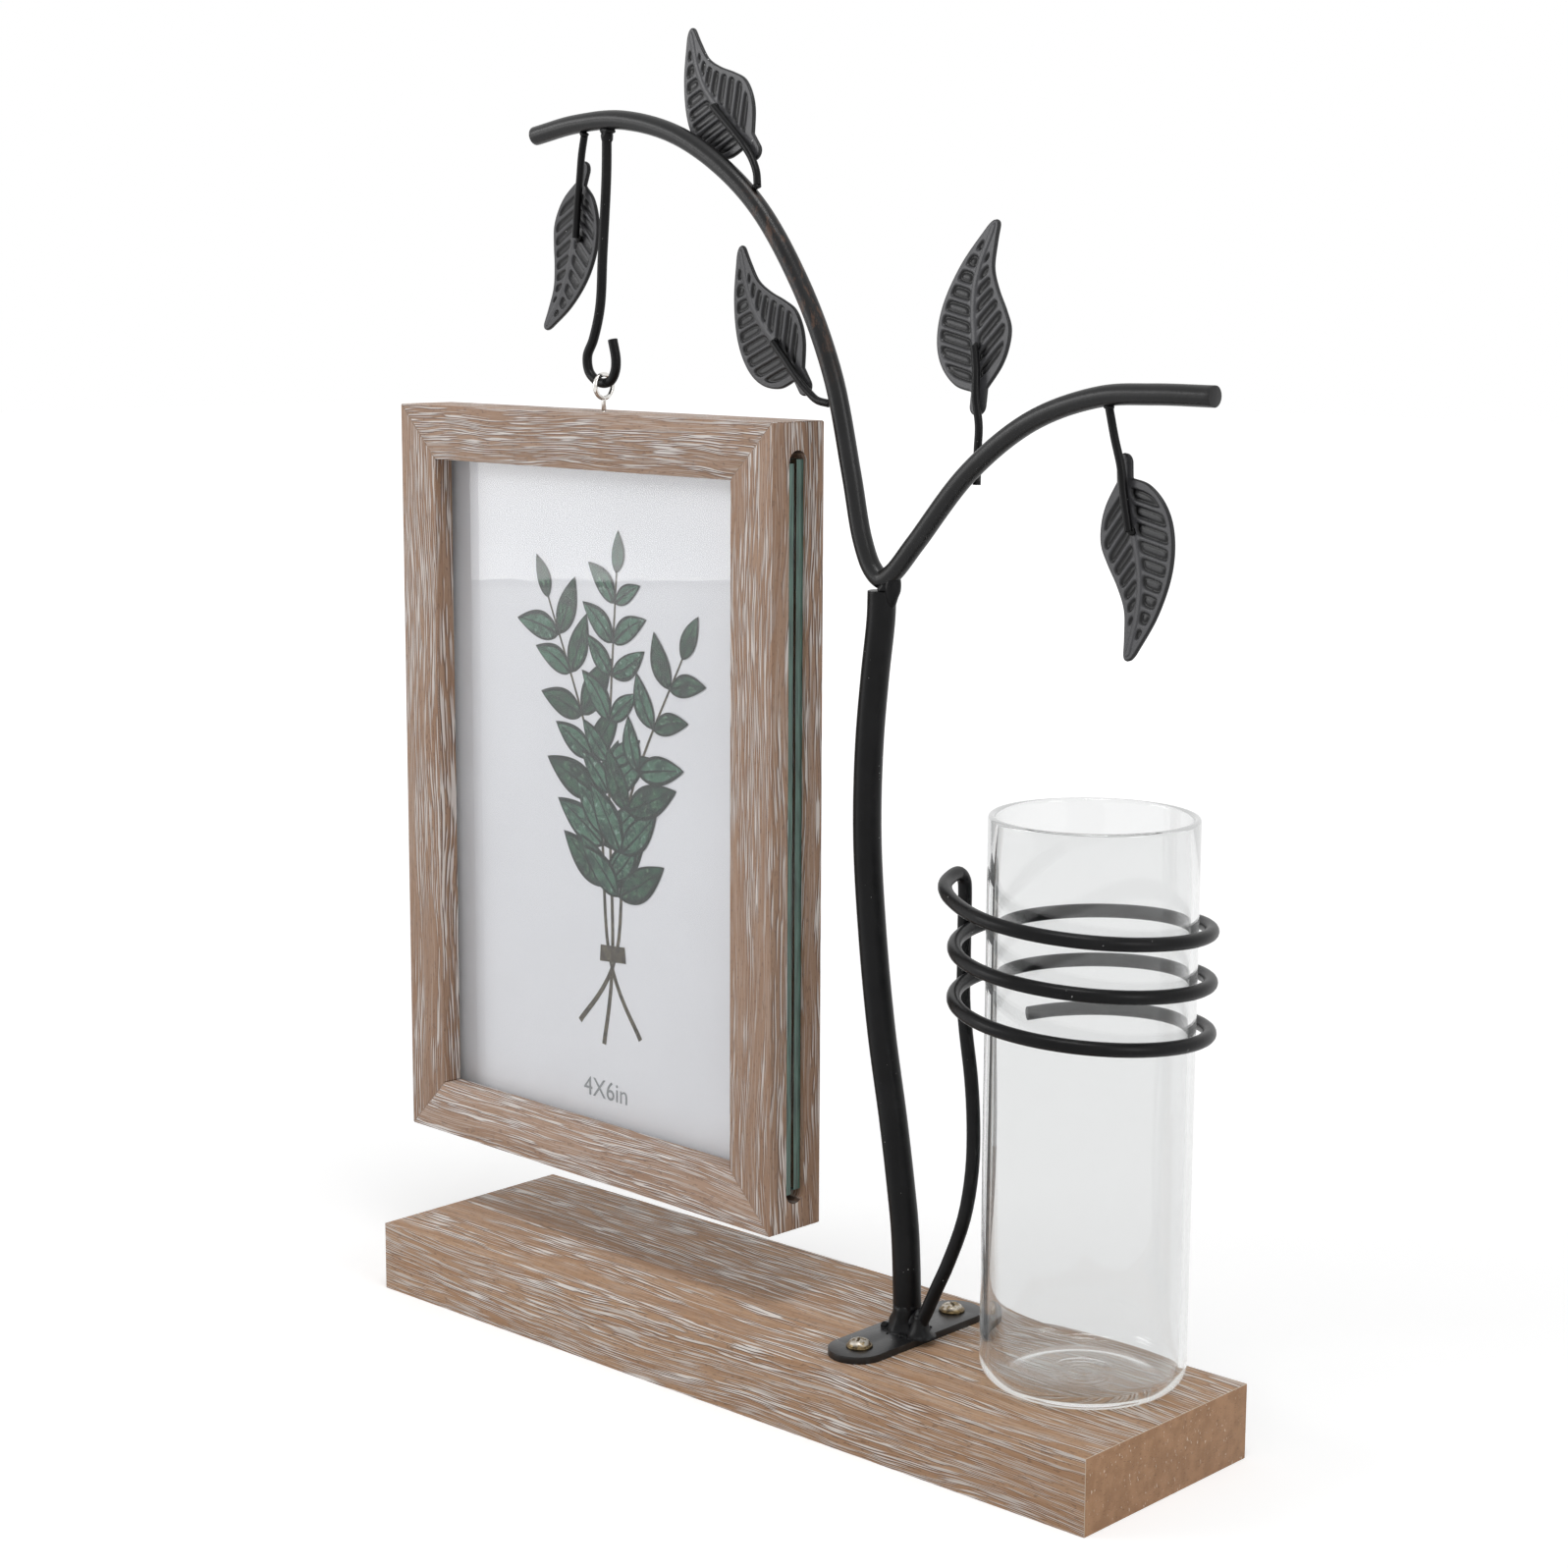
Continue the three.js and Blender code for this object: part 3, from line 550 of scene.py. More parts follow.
def roughen(piece, amount, size):
    # pushes a blob's points in and out by smooth noise, so that no weld is a clean ball
    for vertex in piece.data.vertices:
        direction = vertex.normal.copy()
        vertex.co += direction * noise.noise(vertex.co / (size * mm)) * amount * mm


def blob(place, radii, rough, turn=(0, 0, 0), size=1.2, fine=4):
    # a drop of weld metal
    clear()
    bpy.ops.mesh.primitive_ico_sphere_add(subdivisions=fine, radius=mm, location=Vector(place) * mm,
                                          rotation=[math.radians(t) for t in turn])
    piece = begin("drop")
    piece.scale = radii
    setPlace(piece)
    roughen(piece, rough, size)
    smooth(piece, 180)
    return piece


# board, plate and screws
boardPiece = easedCopy("boardPiece", "base_board", 0.35)
hand(boardPiece, boardWood, "stand", ["base_board"])
platePiece = easedCopy("platePiece", "mounting_plate", 0.3)
hand(platePiece, plateSteel, "stand", ["mounting_plate"])

panScrew = {"x": 33.9, "flange": 2.7, "dome": 2.25, "height": 1.7, "shank": 1.4, "length": 12,
            "recess": 2.7, "slot": 0.62, "depth": 0.85}
screwPlaces = {"plate_screw_front": (-13.9, 24), "plate_screw_back": (15.1, 58)}   # Y, and the recess's turn


def screwPiece(name, y, turn):
    s = panScrew
    low = -s["length"]
    section = [(0, low), (0.5, low + 0.6), (s["shank"], low + 2.5), (s["shank"], 0),
               (s["flange"] - 0.08, 0), (s["flange"], 0.08), (s["flange"], 0.3), (s["flange"] - 0.1, 0.42),
               (s["dome"] + 0.08, 0.46), (s["dome"], 0.6)]
    for degrees in range(12, 91, 13):
        angle = math.radians(degrees)
        section.append((s["dome"] * math.cos(angle), 0.6 + (s["height"] - 0.6) * math.sin(angle)))
    section[-1] = (0, s["height"])
    piece = turned(name, section, (s["x"], y, plateTop), steps=64)
    for quarter in (0, 90):
        clear()
        bpy.ops.mesh.primitive_cube_add(size=mm, rotation=(0, 0, math.radians(turn + quarter)),
                                        location=(s["x"] * mm, y * mm, (plateTop + s["height"]) * mm))
        cutter = begin("recessCutter")
        cutter.scale = (s["recess"], s["slot"], 2 * s["depth"])
        setPlace(cutter)
        applyModifier(piece, "BOOLEAN", object=cutter, operation="DIFFERENCE", solver="EXACT")
        bpy.data.objects.remove(cutter)
    ease(piece, 0.05, 2, 50)
    smooth(piece, 35)
    return piece


for node, (y, turn) in screwPlaces.items():
    hand(screwPiece(node.replace("plate_screw", "panScrew").replace("_", ""), y, turn), bronze, "stand",
         [node])
print("board, plate and screws done")


# trunk, arms and hook, all in mm and in one plane
trunk = {
    "radius": 2.9, "x": 34, "height": 150.58,
    "bends": [(0, 0), (0, 0.04), (-0.7, 0.133), (-1.9, 0.193), (-4.2, 0.286), (-7.6, 0.405),
              (-10.3, 0.538), (-11.9, 0.671), (-11.6, 0.79), (-10.3, 0.883), (-8.8, 0.963), (-8.6, 1)],
}
arms = {
    "radius": 2, "fork": (25.4, 169.78),
    "bends": [(-100, 88.6), (-87.1, 90.7), (-72.4, 91), (-54.8, 86.6), (-36.1, 74.7), (-22.6, 57.8),
              (-13.6, 39.9), (-8.3, 20.2), (-5.3, 7.6), (-2.6, 1.9), (0, 0), (2.6, 1.3), (8.6, 7.7),
              (21.7, 22), (36.7, 32.3), (52.4, 37.3), (64.6, 38.1), (78.09, 38.1)],
}
hook = {
    "radius": 1.05, "top": (-52.5, 258.75), "bottom": (-53.9, 206.15),
    "bends": [(1.2, 43.4), (-0.1, 27), (-1, 16), (-3.1, 9.2), (-5, 5.6), (-4.5, 2.4), (-2.2, 0.5), (0, 0),
              (2.2, 0.6), (3.5, 2.5), (3.8, 5), (2.8, 9.3)],
}
trunkLine = [(trunk["x"] + dx, treeY, plateTop + share * trunk["height"]) for dx, share in trunk["bends"]]
armLine = [(arms["fork"][0] + dx, treeY, arms["fork"][1] + dz) for dx, dz in arms["bends"]]
hookLine = [(hook["top"][0], treeY, hook["top"][1])]
hookLine += [(hook["bottom"][0] + dx, treeY, hook["bottom"][1] + dz) for dx, dz in hook["bends"]]
hand(bentWire("trunkPiece", trunkLine, trunk["radius"], resolution=10, ends=0.4), steel, "stand",
     ["trunk_tube"])
hand(bentWire("armsPiece", armLine, arms["radius"], perSpan=12, resolution=8, ends=0.7), wornSteel, "stand",
     ["branch_rod"])
hand(bentWire("hookPiece", hookLine, hook["radius"], perSpan=10), steel, "stand", ["frame_hook"])
print("trunk, arms and hook done")


# leaves and stems
leaf = {
    "thick": 1, "tabHalf": 1.9, "tabLength": 4, "rim": 1.1, "rib": 0.75, "midrib": 1.5, "depth": 0.45,
    "spacing": 3.25, "first": 1.5, "cells": 9, "fullSlope": 0.3, "sweptSlope": 0.72,
    "cellCorner": 0.35, "edgeRound": 0.42, "backGroove": 0.28, "columns": 104, "rows": 190,
    "tip": (0, 34.4), "fullFoot": 0.7, "fullPull": (-1.1, 34.5),
    "sweptFoot": 1.3, "sweptEnd": (0.9, 32.9), "sweptPull": (1, 34.2),
    "full": [(-6, 2), (-9.6, 5.3), (-11.6, 9.6), (-11.9, 14.9), (-10.5, 20.5), (-7.2, 26.8), (-2.6, 32.6)],
    "swept": [(0.6, 29.4), (0.6, 24.9), (2.2, 20.7), (4.6, 16.5), (6.2, 12.9), (6.1, 9.1), (4.8, 5.4)],
    "ribLine": [(0, 0), (-1.3, 5), (-2.4, 11.4), (-3.3, 16), (-3.6, 21), (-2.8, 26), (-1.1, 31)],
}
leafPlaces = [
    {"x": -10.8, "side": "over", "foot": (-4.8, 3.2, 8.3), "angles": (-44.1, -5.1, -10.4),
     "bends": [(-0.8, 2.6), (-2.6, 5.4)], "tail": [(-0.6, 0.1), (-1.5, 5.6), (-3, 13.7)]},
    {"x": -59.6, "side": "under", "foot": (-5.2, 4.3, -8.9), "angles": (201.1, -11.5, -3.6),
     "bends": [(-1.7, -4), (-3.1, -8.8)], "tail": [(-2.7, 4.2), (-5.2, 11.4)]},
    {"x": 13.5, "side": "under", "foot": (-9.6, 2.3, 4.7), "angles": (-39.6, -5.7, -5.9),
     "bends": [(-3.5, 0.6), (-6, 2.1)], "tail": [(0.3, -0.2), (-0.7, 5.6), (-1.6, 10.4)]},
    {"x": 46.6, "side": "behind", "foot": (-2, 2.8, 17), "angles": (-3.5, -0.2, -12.3),
     "bends": [(-0.2, 6.4), (-0.3, 11.3)], "tail": [(0.5, -0.7), (-0.2, 4.8), (-1.2, 9.4)]},
    {"x": 79.9, "side": "under", "foot": (2.7, 1.7, -12), "angles": (174.8, -7.2, -2.5),
     "bends": [(1.4, -5.3), (3, -10.5)], "tail": [(-1, 3.6), (-2.2, 10.5)]},
]
stemRadius = 0.8
stemDrop = 2.1       # a stem behind the arm starts this far below its middle
stemFront = -1.6     # from the leaf's middle to the stem that lies along its front
weldGap = 0.3


def evenSpline(points, perSpan=14):
    # a smooth curve through points in a plane, its ends repeated
    p = [np.array(q, float) for q in points]
    line = []
    for i in range(len(p) - 1):
        a, b, c, d = p[max(i - 1, 0)], p[i], p[i + 1], p[min(i + 2, len(p) - 1)]
        for step in range(perSpan):
            t = step / perSpan
            v0, v1 = (c - a) / 2, (d - b) / 2
            line.append((2 * b - 2 * c + v0 + v1) * t ** 3 + (-3 * b + 3 * c - 2 * v0 - v1) * t ** 2
                        + v0 * t + b)
    return line + [p[-1]]


def roundTip(a, control, b):
    # a short curve from a to b that is pulled towards control
    a, control, b = [np.array(q, float) for q in (a, control, b)]
    return [(1 - t) ** 2 * a + 2 * t * (1 - t) * control + t * t * b for t in np.linspace(0, 1, 10)]


def distanceTo(px, pz, line):
    # least distance from each point to a line of points, in the leaf's plane
    line = np.array(line)
    least = np.full(px.shape, 1e9)
    for a, b in zip(line[:-1], line[1:]):
        span = b - a
        share = np.clip(((px - a[0]) * span[0] + (pz - a[1]) * span[1]) / max(span @ span, 1e-12), 0, 1)
        least = np.minimum(least, np.hypot(px - a[0] - share * span[0], pz - a[1] - share * span[1]))
    return least


def step01(value, low, high):
    # 0 below low, 1 above high, smooth in the middle
    t = np.clip((value - low) / (high - low), 0, 1)
    return t * t * (3 - 2 * t)


def sortedSide(side):
    # an outline's side as rising heights and their places across
    side = side[np.argsort(side[:, 1], kind="stable")]
    return side[:, 1], side[:, 0]


def stampedLeaf():
    # one grid for the front and one for the back, drawn to the outline and pressed in by height
    half, foot, tip = leaf["tabHalf"], -leaf["tabLength"], leaf["tip"]
    tabLeft = [(-half * math.cos(a), foot + half - half * math.sin(a))
               for a in np.linspace(math.pi / 2, 0, 14)]
    tabRight = [(-x, z) for x, z in tabLeft]
    left = tabLeft + evenSpline([(-half, leaf["fullFoot"])] + leaf["full"])
    left += roundTip(leaf["full"][-1], leaf["fullPull"], tip)
    right = tabRight + evenSpline([(half, leaf["sweptFoot"])] + leaf["swept"][::-1] + [leaf["sweptEnd"]])
    right += roundTip(leaf["sweptEnd"], leaf["sweptPull"], tip)
    left, right = np.array([tuple(q) for q in left]), np.array([tuple(q) for q in right])
    outline = np.vstack([left, right[::-1]])
    clear()
    bpy.ops.mesh.primitive_grid_add(x_subdivisions=leaf["columns"], y_subdivisions=leaf["rows"], size=1)
    front = begin("leafFront")
    count = len(front.data.vertices)
    flat = np.zeros(count * 3)
    front.data.vertices.foreach_get("co", flat)
    flat = flat.reshape(-1, 3)
    u, v = flat[:, 0] + 0.5, flat[:, 1] + 0.5
    # rows lie closer at the rim
    u = 0.5 - 0.5 * np.cos(np.pi * u) * (0.75 + 0.25 * np.abs(np.cos(np.pi * u)))
    v = v * 0.86 + 0.14 * (0.5 - 0.5 * np.cos(np.pi * v))
    z = foot + (tip[1] - foot) * v
    xl = np.interp(z, *sortedSide(left))
    xr = np.interp(z, *sortedSide(right))
    x = xl + (xr - xl) * u
    rib = np.array(evenSpline(leaf["ribLine"] + [tip]))
    toEdge = distanceTo(x, z, outline)
    toRib = distanceTo(x, z, rib)
    ribX = np.interp(z, rib[:, 1], rib[:, 0])
    fullSide = x < ribX
    slope = np.where(fullSide, leaf["fullSlope"], leaf["sweptSlope"])
    # height at which this point's vein leaves the middle rib
    root = z - np.abs(x - ribX) * np.tan(slope)
    row = (root - leaf["first"]) / leaf["spacing"]
    toVein = np.abs(row - np.round(row)) * leaf["spacing"] * np.cos(slope)
    inCells = (row > 0) & (row < leaf["cells"])
    # how far inside its cell a point is, with the cell's corners rounded
    corner = leaf["cellCorner"]
    soft = -np.log(np.exp(-(toEdge - leaf["rim"]) / corner) + np.exp(-(toRib - leaf["midrib"] / 2) / corner)
                   + np.exp(-(toVein - leaf["rib"] / 2) / corner)) * corner
    soft = np.where(inCells, soft, -1)
    pressed = step01(soft, -0.1, 0.24) * leaf["depth"] - step01(soft, 0.3, 0.85) * 0.2
    halfThick = leaf["thick"] / 2
    r = leaf["edgeRound"]
    d = np.clip(toEdge, 0, r)
    rounded = halfThick - r + np.sqrt(np.maximum(r * r - (r - d) ** 2, 0))
    rounded = np.where(toEdge < 1e-4, 0, rounded)
    ridge = step01(0.75 - toRib, 0, 0.5) * 0.12           # the middle rib stands up a little
    flat[:, 0], flat[:, 2] = x, z
    flat[:, 1] = -rounded + pressed - np.where(toEdge > 0.9, ridge, 0)
    front.data.vertices.foreach_set("co", (flat * mm).ravel())
    # the groove attribute paints light: dark in the pressed cells' grooves and along the rounded rim, a
    # painted shade, and grey on the high faces, a painted sheen
    shade = front.data.attributes.new("groove", "FLOAT", "POINT")
    dark = step01(soft, -0.12, 0.16) * 1.1 - step01(soft, 0.4, 0.9) * 0.45
    dark = dark + (1 - step01(toEdge, 0.12, 0.5)) * 0.85
    shade.data.foreach_set("value", np.clip(dark, 0, 1))
    back = copied(front, "leafBack")
    groove = (1 - step01(soft, -0.3, 0.3)) * step01(toEdge, 0.7, 1.2) * leaf["backGroove"]
    flat[:, 1] = rounded - groove
    back.data.vertices.foreach_set("co", (flat * mm).ravel())
    piece = joined("leafMaster", [front, back])
    tidyMesh(piece, 2e-5)
    smooth(piece, 60)
    return piece


def passing(line, x):
    # where the arms' centreline passes x, with the direction square to it
    line = np.array(line)
    i = int(np.argmax(line[:, 0] > x))
    share = (x - line[i - 1, 0]) / (line[i, 0] - line[i - 1, 0])
    along = line[i] - line[i - 1]
    along = along / np.linalg.norm(along)
    return line[i - 1] + share * (line[i] - line[i - 1]), np.array([-along[2], 0, along[0]])


fineArms = curvePoints(armLine, 24)
leafMaster = stampedLeaf()
for number, place in enumerate(leafPlaces, 1):
    centre, upward = passing(fineArms, place["x"])
    if place["side"] == "behind":
        root = centre + np.array([0, arms["radius"] + weldGap + stemRadius, -stemDrop])
        place["toArm"] = np.array([0, -0.5, 1.2])
    else:
        dx, dz = place["bends"][0]
        slant = abs(dx * upward[2] - dz * upward[0]) / math.hypot(dx, dz)
        clearOf = arms["radius"] + weldGap + stemRadius * slant
        root = centre + upward * (clearOf if place["side"] == "over" else -clearOf)
        place["toArm"] = upward * (-weldGap if place["side"] == "over" else weldGap)
    lean, turn, tilt = [math.radians(a) for a in place["angles"]]
    pose = Matrix.Rotation(turn, 4, "Z") @ Matrix.Rotation(tilt, 4, "X") @ Matrix.Rotation(lean, 4, "Y")
    pose = Matrix.Translation(Vector(root) + Vector(place["foot"])) @ pose
    blade = copied(leafMaster, f"leafPiece{number}")
    inMetres = pose.copy()
    inMetres.translation = pose.translation * mm
    blade.matrix_world = inMetres
    hand(blade, fleckedSteel if number < 3 else leafSteel, "stand", [f"leaf_{number}"])
    tail = [np.array(pose @ Vector((x, stemFront, z))) for x, z in place["tail"]]
    bends = []
    for step, (dx, dz) in enumerate(place["bends"], 1):
        share = step / (len(place["bends"]) + 1)
        bends.append((root[0] + dx, root[1] + (tail[0][1] - root[1]) * share, root[2] + dz))
    stem = bentWire(f"stemPiece{number}", [root, *bends, *tail], stemRadius, perSpan=10, ends=0.3,
                    resolution=5)
    hand(stem, steel, "stand", [f"leaf_stem_{number}"])
    place["root"], place["pose"], place["end"] = root, pose, tail[-1]
bpy.data.objects.remove(leafMaster)
print("leaves and stems done")


# wire holder: a post that turns into the coil
holder = {
    "radius": 1.4, "x": 72.9, "y": 5.58, "turnRadius": 24.58, "pitch": 10, "topHeight": 95.1, "droop": 0.02,
    "postAngle": 183.7, "endAngle": 1236, "bend": 3.2, "crest": 0.7, "settle": 62, "perTurn": 25,
    "gap": 0.5, "straightFrom": 70.5,
    "post": [(38.5, -0.8, 0), (38.5, -0.8, 1.4), (40.1, -0.4, 5.3), (42.2, 0.2, 10.6), (44.3, 0.9, 15.8),
             (47.6, 1.9, 26), (48.9, 2.6, 36), (48.6, 3.2, 45.4), (47.5, 3.6, 54.7), (45.8, 3.8, 64)],
}


def holderLine():
    # up the post, over a tight bend, and down round the glass
    h = holder
    line = [(x, y, plateTop + up) for x, y, up in h["post"]]
    postRadius = h["turnRadius"] + 2 * h["radius"] + h["gap"]
    first = h["postAngle"] + h["settle"]

    def onCoil(angle, radius, rise):
        x = h["x"] + radius * math.cos(math.radians(angle))
        y = h["y"] + radius * math.sin(math.radians(angle))
        fall = h["pitch"] * (angle - first) / 360
        return (x, y, boardTop + h["topHeight"] - fall - h["droop"] * (x - h["x"]) + rise)

    bendAngle = math.degrees(h["bend"] / postRadius)
    bendFoot = onCoil(h["postAngle"] + bendAngle, postRadius, h["crest"])[2] - h["bend"]
    px, py, _ = onCoil(h["postAngle"], postRadius, 0)
    low = plateTop + h["straightFrom"]
    line += [(px, py, low + (bendFoot - low) * i / 3) for i in range(4)]
    for i in range(1, 5):
        turn = math.pi / 2 * i / 4
        x, y, _ = onCoil(h["postAngle"] + bendAngle * (1 - math.cos(turn)), postRadius, 0)
        line.append((x, y, bendFoot + h["bend"] * math.sin(turn)))
    start = h["postAngle"] + bendAngle
    steps = math.ceil((h["endAngle"] - start) / 360 * h["perTurn"])
    for i in range(1, steps + 1):
        angle = start + (h["endAngle"] - start) * i / steps
        settled = float(step01(angle, start, first))
        line.append(onCoil(angle, postRadius + (h["turnRadius"] - postRadius) * settled,
                           h["crest"] * (1 - settled)))
    return line


hand(bentWire("holderPiece", holderLine(), holder["radius"], perSpan=4, resolution=6, ends=0.3), steel,
     "stand", ["holder_coil"])
print("wire holder done")


# welds
welds = {
    "fillets": [{"place": (34, treeY), "radius": 2.85, "reach": 4.6, "height": 5.4, "rough": 0.4},
                {"place": (38.7, -0.8), "radius": 1.35, "reach": 3.2, "height": 4.6, "rough": 0.4}],
    "toe": {"place": (34.2, 0.4), "reach": 3.9, "size": 1.0, "count": 5, "spread": 0.4, "seed": 3},
    "foot": [
        {"place": (36.7, -0.3, plateTop + 1.6), "radii": (1.5, 1.4, 2.6), "turn": (0, 18, 0), "rough": 0.45},
        {"place": (38.2, -0.7, plateTop + 3.6), "radii": (1.2, 1.2, 2.4), "turn": (0, 18, 0), "rough": 0.35},
        {"place": (30.6, -1.9, plateTop + 0.4), "radii": (1.1, 0.9, 0.8), "turn": (0, 0, 40), "rough": 0.4},
    ],
    "spatter": [(30.4, -2.2, 0.35), (31.2, 3.6, 0.3), (36.4, -4.2, 0.4), (39.1, -3.4, 0.28),
                (33.2, -4.6, 0.25), (37.2, 4.4, 0.3)],
    "forkAndHook": [
        {"place": (28.1, treeY, 168.2), "radii": (1.6, 1.7, 4.0), "turn": (0, 4, 0), "rough": 0.25,
         "size": 2},
        {"place": (26.6, 0.4, 168.0), "radii": (1.7, 1.8, 1.5), "rough": 0.25},
        {"place": (-52.3, treeY, 258.8), "radii": (2.0, 1.3, 0.8), "rough": 0.25, "size": 0.8},
        {"place": (-52.4, treeY, 257.6), "radii": (1.35, 1.3, 1.6), "rough": 0.15, "size": 0.8},
    ],
    "stemRoot": {"radii": (1.0, 0.95, 0.6), "rough": 0.15, "size": 0.7, "fine": 3},
    "stemEnd": {"radii": (0.85, 0.6, 0.85), "rough": 0.18, "size": 0.6, "fine": 3, "ahead": 0.75},
}


def toeBeads(place, reach, size, count, spread, seed):
    # a ring of small beads round the trunk's foot
    random.seed(seed)
    beads = []
    for i in range(count):
        angle = 2 * math.pi * (i + random.uniform(-0.25, 0.25)) / count
        wide = size * random.uniform(0.8, 1.2)
        spot = (place[0] + reach * math.cos(angle), place[1] + reach * math.sin(angle),
                plateTop + random.uniform(-0.1, 0.25) * spread)
        beads.append(blob(spot, (wide * 1.25, wide * 1.25, wide * spread), rough=0.18, size=0.9, fine=3))
    return beads


def fillet(place, radius, reach, height, rough):
    # a flared collar of weld metal round a rod's foot, uneven round its edge
    section = [(radius - 0.3, height), (radius + 0.05, height)]
    section += [(radius + 0.05 + (reach - radius) * (1 - math.cos(math.radians(a))),
                 height * (1 - math.sin(math.radians(a)))) for a in range(12, 91, 13)]
    section += [(reach + 0.1, 0), (radius - 0.3, 0)]
    piece = turned("fillet", section, (*place, plateTop), steps=48)
    roughen(piece, rough, 2.2)
    roughen(piece, rough * 0.4, 0.8)
    smooth(piece, 180)
    return piece


weldPieces = [fillet(**collar) for collar in welds["fillets"]]
weldPieces += toeBeads(**welds["toe"])
weldPieces += [blob(**drop) for drop in welds["foot"]]
weldPieces += [blob((x, y, plateTop + 0.1), (r, r, r * 0.7), rough=0.08, size=0.4, fine=2)
               for x, y, r in welds["spatter"]]
weldPieces += [blob(**drop) for drop in welds["forkAndHook"]]
endDrop = dict(welds["stemEnd"])
endAhead = Vector((0, endDrop.pop("ahead"), 0))
for place in leafPlaces:
    weldPieces.append(blob(place["root"] + place["toArm"], **welds["stemRoot"]))
    weldPieces.append(blob(Vector(place["end"]) + place["pose"].to_3x3() @ endAhead, **endDrop))
weldPiece = joined("weldBeads", weldPieces)
hand(weldPiece, steel, "stand")
print("welds done")


# glass tube
tube = {"height": 112.5, "radius": 20.3, "wall": 1.5, "floor": 2, "foot": 4.5, "hollow": 0.5,
        "rings": (6.6, 4.8, 3.1)}


def tubePiece():
    t = tube
    inner, rest = t["radius"] - t["wall"], t["radius"] - t["foot"]
    innerFoot = t["foot"] - t["wall"]
    rimZ, rimR = t["height"] - t["wall"] / 2, t["wall"] / 2
    section = [(0, t["hollow"]), (6, t["hollow"]), (rest - 5, t["hollow"] - 0.05),
               (rest - 3, t["hollow"] - 0.25)]
    section += [(rest - 1.6, 0.08), (rest - 0.9, 0)] + arc(rest, t["foot"], t["foot"], -90, 0, 14)
    section += [(t["radius"], z) for z in (20, 40, 60, 80, 100)]
    section += arc(t["radius"] - rimR, rimZ, rimR, 0, 180, 12)
    section += [(inner, z) for z in (100, 80, 60, 40, 20)]
    section += arc(inner - innerFoot, t["floor"] + innerFoot, innerFoot, 0, -90, 14)
    low, high = t["floor"], t["floor"] + 0.05
    for ring in t["rings"]:
        section += [(ring + 0.5, low), (ring + 0.2, high), (ring - 0.2, high), (ring - 0.5, low)]
    section += [(1.2, high), (0, high)]
    piece = turned("tubePiece", section, (glassX, glassY, boardTop), steps=128)
    smooth(piece, 50)
    return piece


hand(tubePiece(), tubeGlass, "vase", ["glass_tube"])
print("glass tube done")


# picture frame and screw eye
for node, wood in (("top", railWood), ("bottom", railWood), ("left", stileWood), ("right", stileWood)):
    rail = easedCopy(f"rail{node.capitalize()}", f"frame_rail_{node}", 0.12, segments=2)
    hand(rail, wood, "photo_frame", [f"frame_rail_{node}"])
mitre = {"halfWidth": 59.9, "halfHeight": 84.2, "rail": 12, "thick": 0.19, "halfDepth": 7.27, "groove": 2.7}
glueLines = []
for sideX in (1, -1):
    for sideZ in (1, -1):
        for sideY in (1, -1):
            low, high = mitre["groove"], mitre["halfDepth"]
            flat = Vector((sideX * (mitre["halfWidth"] - mitre["rail"] / 2), sideY * (low + high) / 2,
                           sideZ * (mitre["halfHeight"] - mitre["rail"] / 2)))
            clear()
            bpy.ops.mesh.primitive_cube_add(size=mm)
            line = begin("glueLine")
            line.scale = (mitre["rail"] * math.sqrt(2) - 0.5, high - low, mitre["thick"])
            line.matrix_world = (Matrix.Translation(frameCentre * mm) @ Matrix.Rotation(frameTurn, 4, "Z")
                                 @ Matrix.Translation(flat * mm)
                                 @ Matrix.Rotation(-sideX * sideZ * math.pi / 4, 4, "Y")
                                 @ Matrix.Diagonal((*line.scale, 1)))
            setPlace(line)
            glueLines.append(line)
hand(joined("mitreGlue", glueLines), glueBrown, "photo_frame")

for node, material in (("pane_front", paneGlass), ("pane_back", paneGlass), ("picture_card", card)):
    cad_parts[node].data.materials.clear()
    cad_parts[node].data.materials.append(material)

screwEye = {"x": -53.9, "ringZ": 205.5, "ring": 2.5, "wire": 0.5, "neck": 2.4, "thread": 5, "turns": 10}


def eyePiece():
    e = screwEye
    clear()
    bpy.ops.mesh.primitive_torus_add(location=(e["x"] * mm, treeY * mm, e["ringZ"] * mm),
                                     rotation=(0, math.pi / 2, 0), major_segments=96, minor_segments=24,
                                     major_radius=e["ring"] * mm, minor_radius=e["wire"] * mm)
    ring = begin("eyeRing")
    neckFoot = -e["ring"] - e["wire"] - e["neck"]
    low, top = neckFoot - e["thread"], -e["ring"] - 0.1
    section = [(0, low), (0.15, low + 0.3)]
    for i in range(e["turns"]):
        z = low + 0.6 + i * (e["thread"] - 0.4) / e["turns"]
        section += [(0.36, z), (0.5, z + 0.18), (0.36, z + 0.36)]
    section += [(0.5, neckFoot + 0.5), (0.5, top), (0, top)]
    shank = turned("eyeShank", section, (e["x"], treeY, e["ringZ"]), steps=32)
    piece = joined("eyePiece", [ring, shank])
    smooth(piece, 50)
    return piece


hand(eyePiece(), nickel, "eye", ["screw_eye"])
print("picture frame and screw eye done")


# print on the card
sprigs = {
    "depth": -0.24,      # just in front of the card's face, in the frame's own mm
    "tie": (4, -34), "seed": 11, "paleShare": 0.35, "spread": (38, 58),
    "leafWidth": 0.44, "inset": 0.045, "innerLength": 0.9, "innerWidth": 0.76, "vein": 0.7,
    "layerStep": 0.02, "stemWidth": 1.3, "leafFrom": 0.24, "leafSpan": 0.74,
    "stems": [
        {"end": (-17, 44), "lean": 9, "leaves": 8, "size": 18, "foot": (13, -52), "wash": "dark"},
        {"end": (6, 51), "lean": -3, "leaves": 9, "size": 15.5, "foot": (1, -55), "wash": "pale"},
        {"end": (27, 34), "lean": -10, "leaves": 7, "size": 17, "foot": (-7, -51), "wash": "dark"},
    ],
}


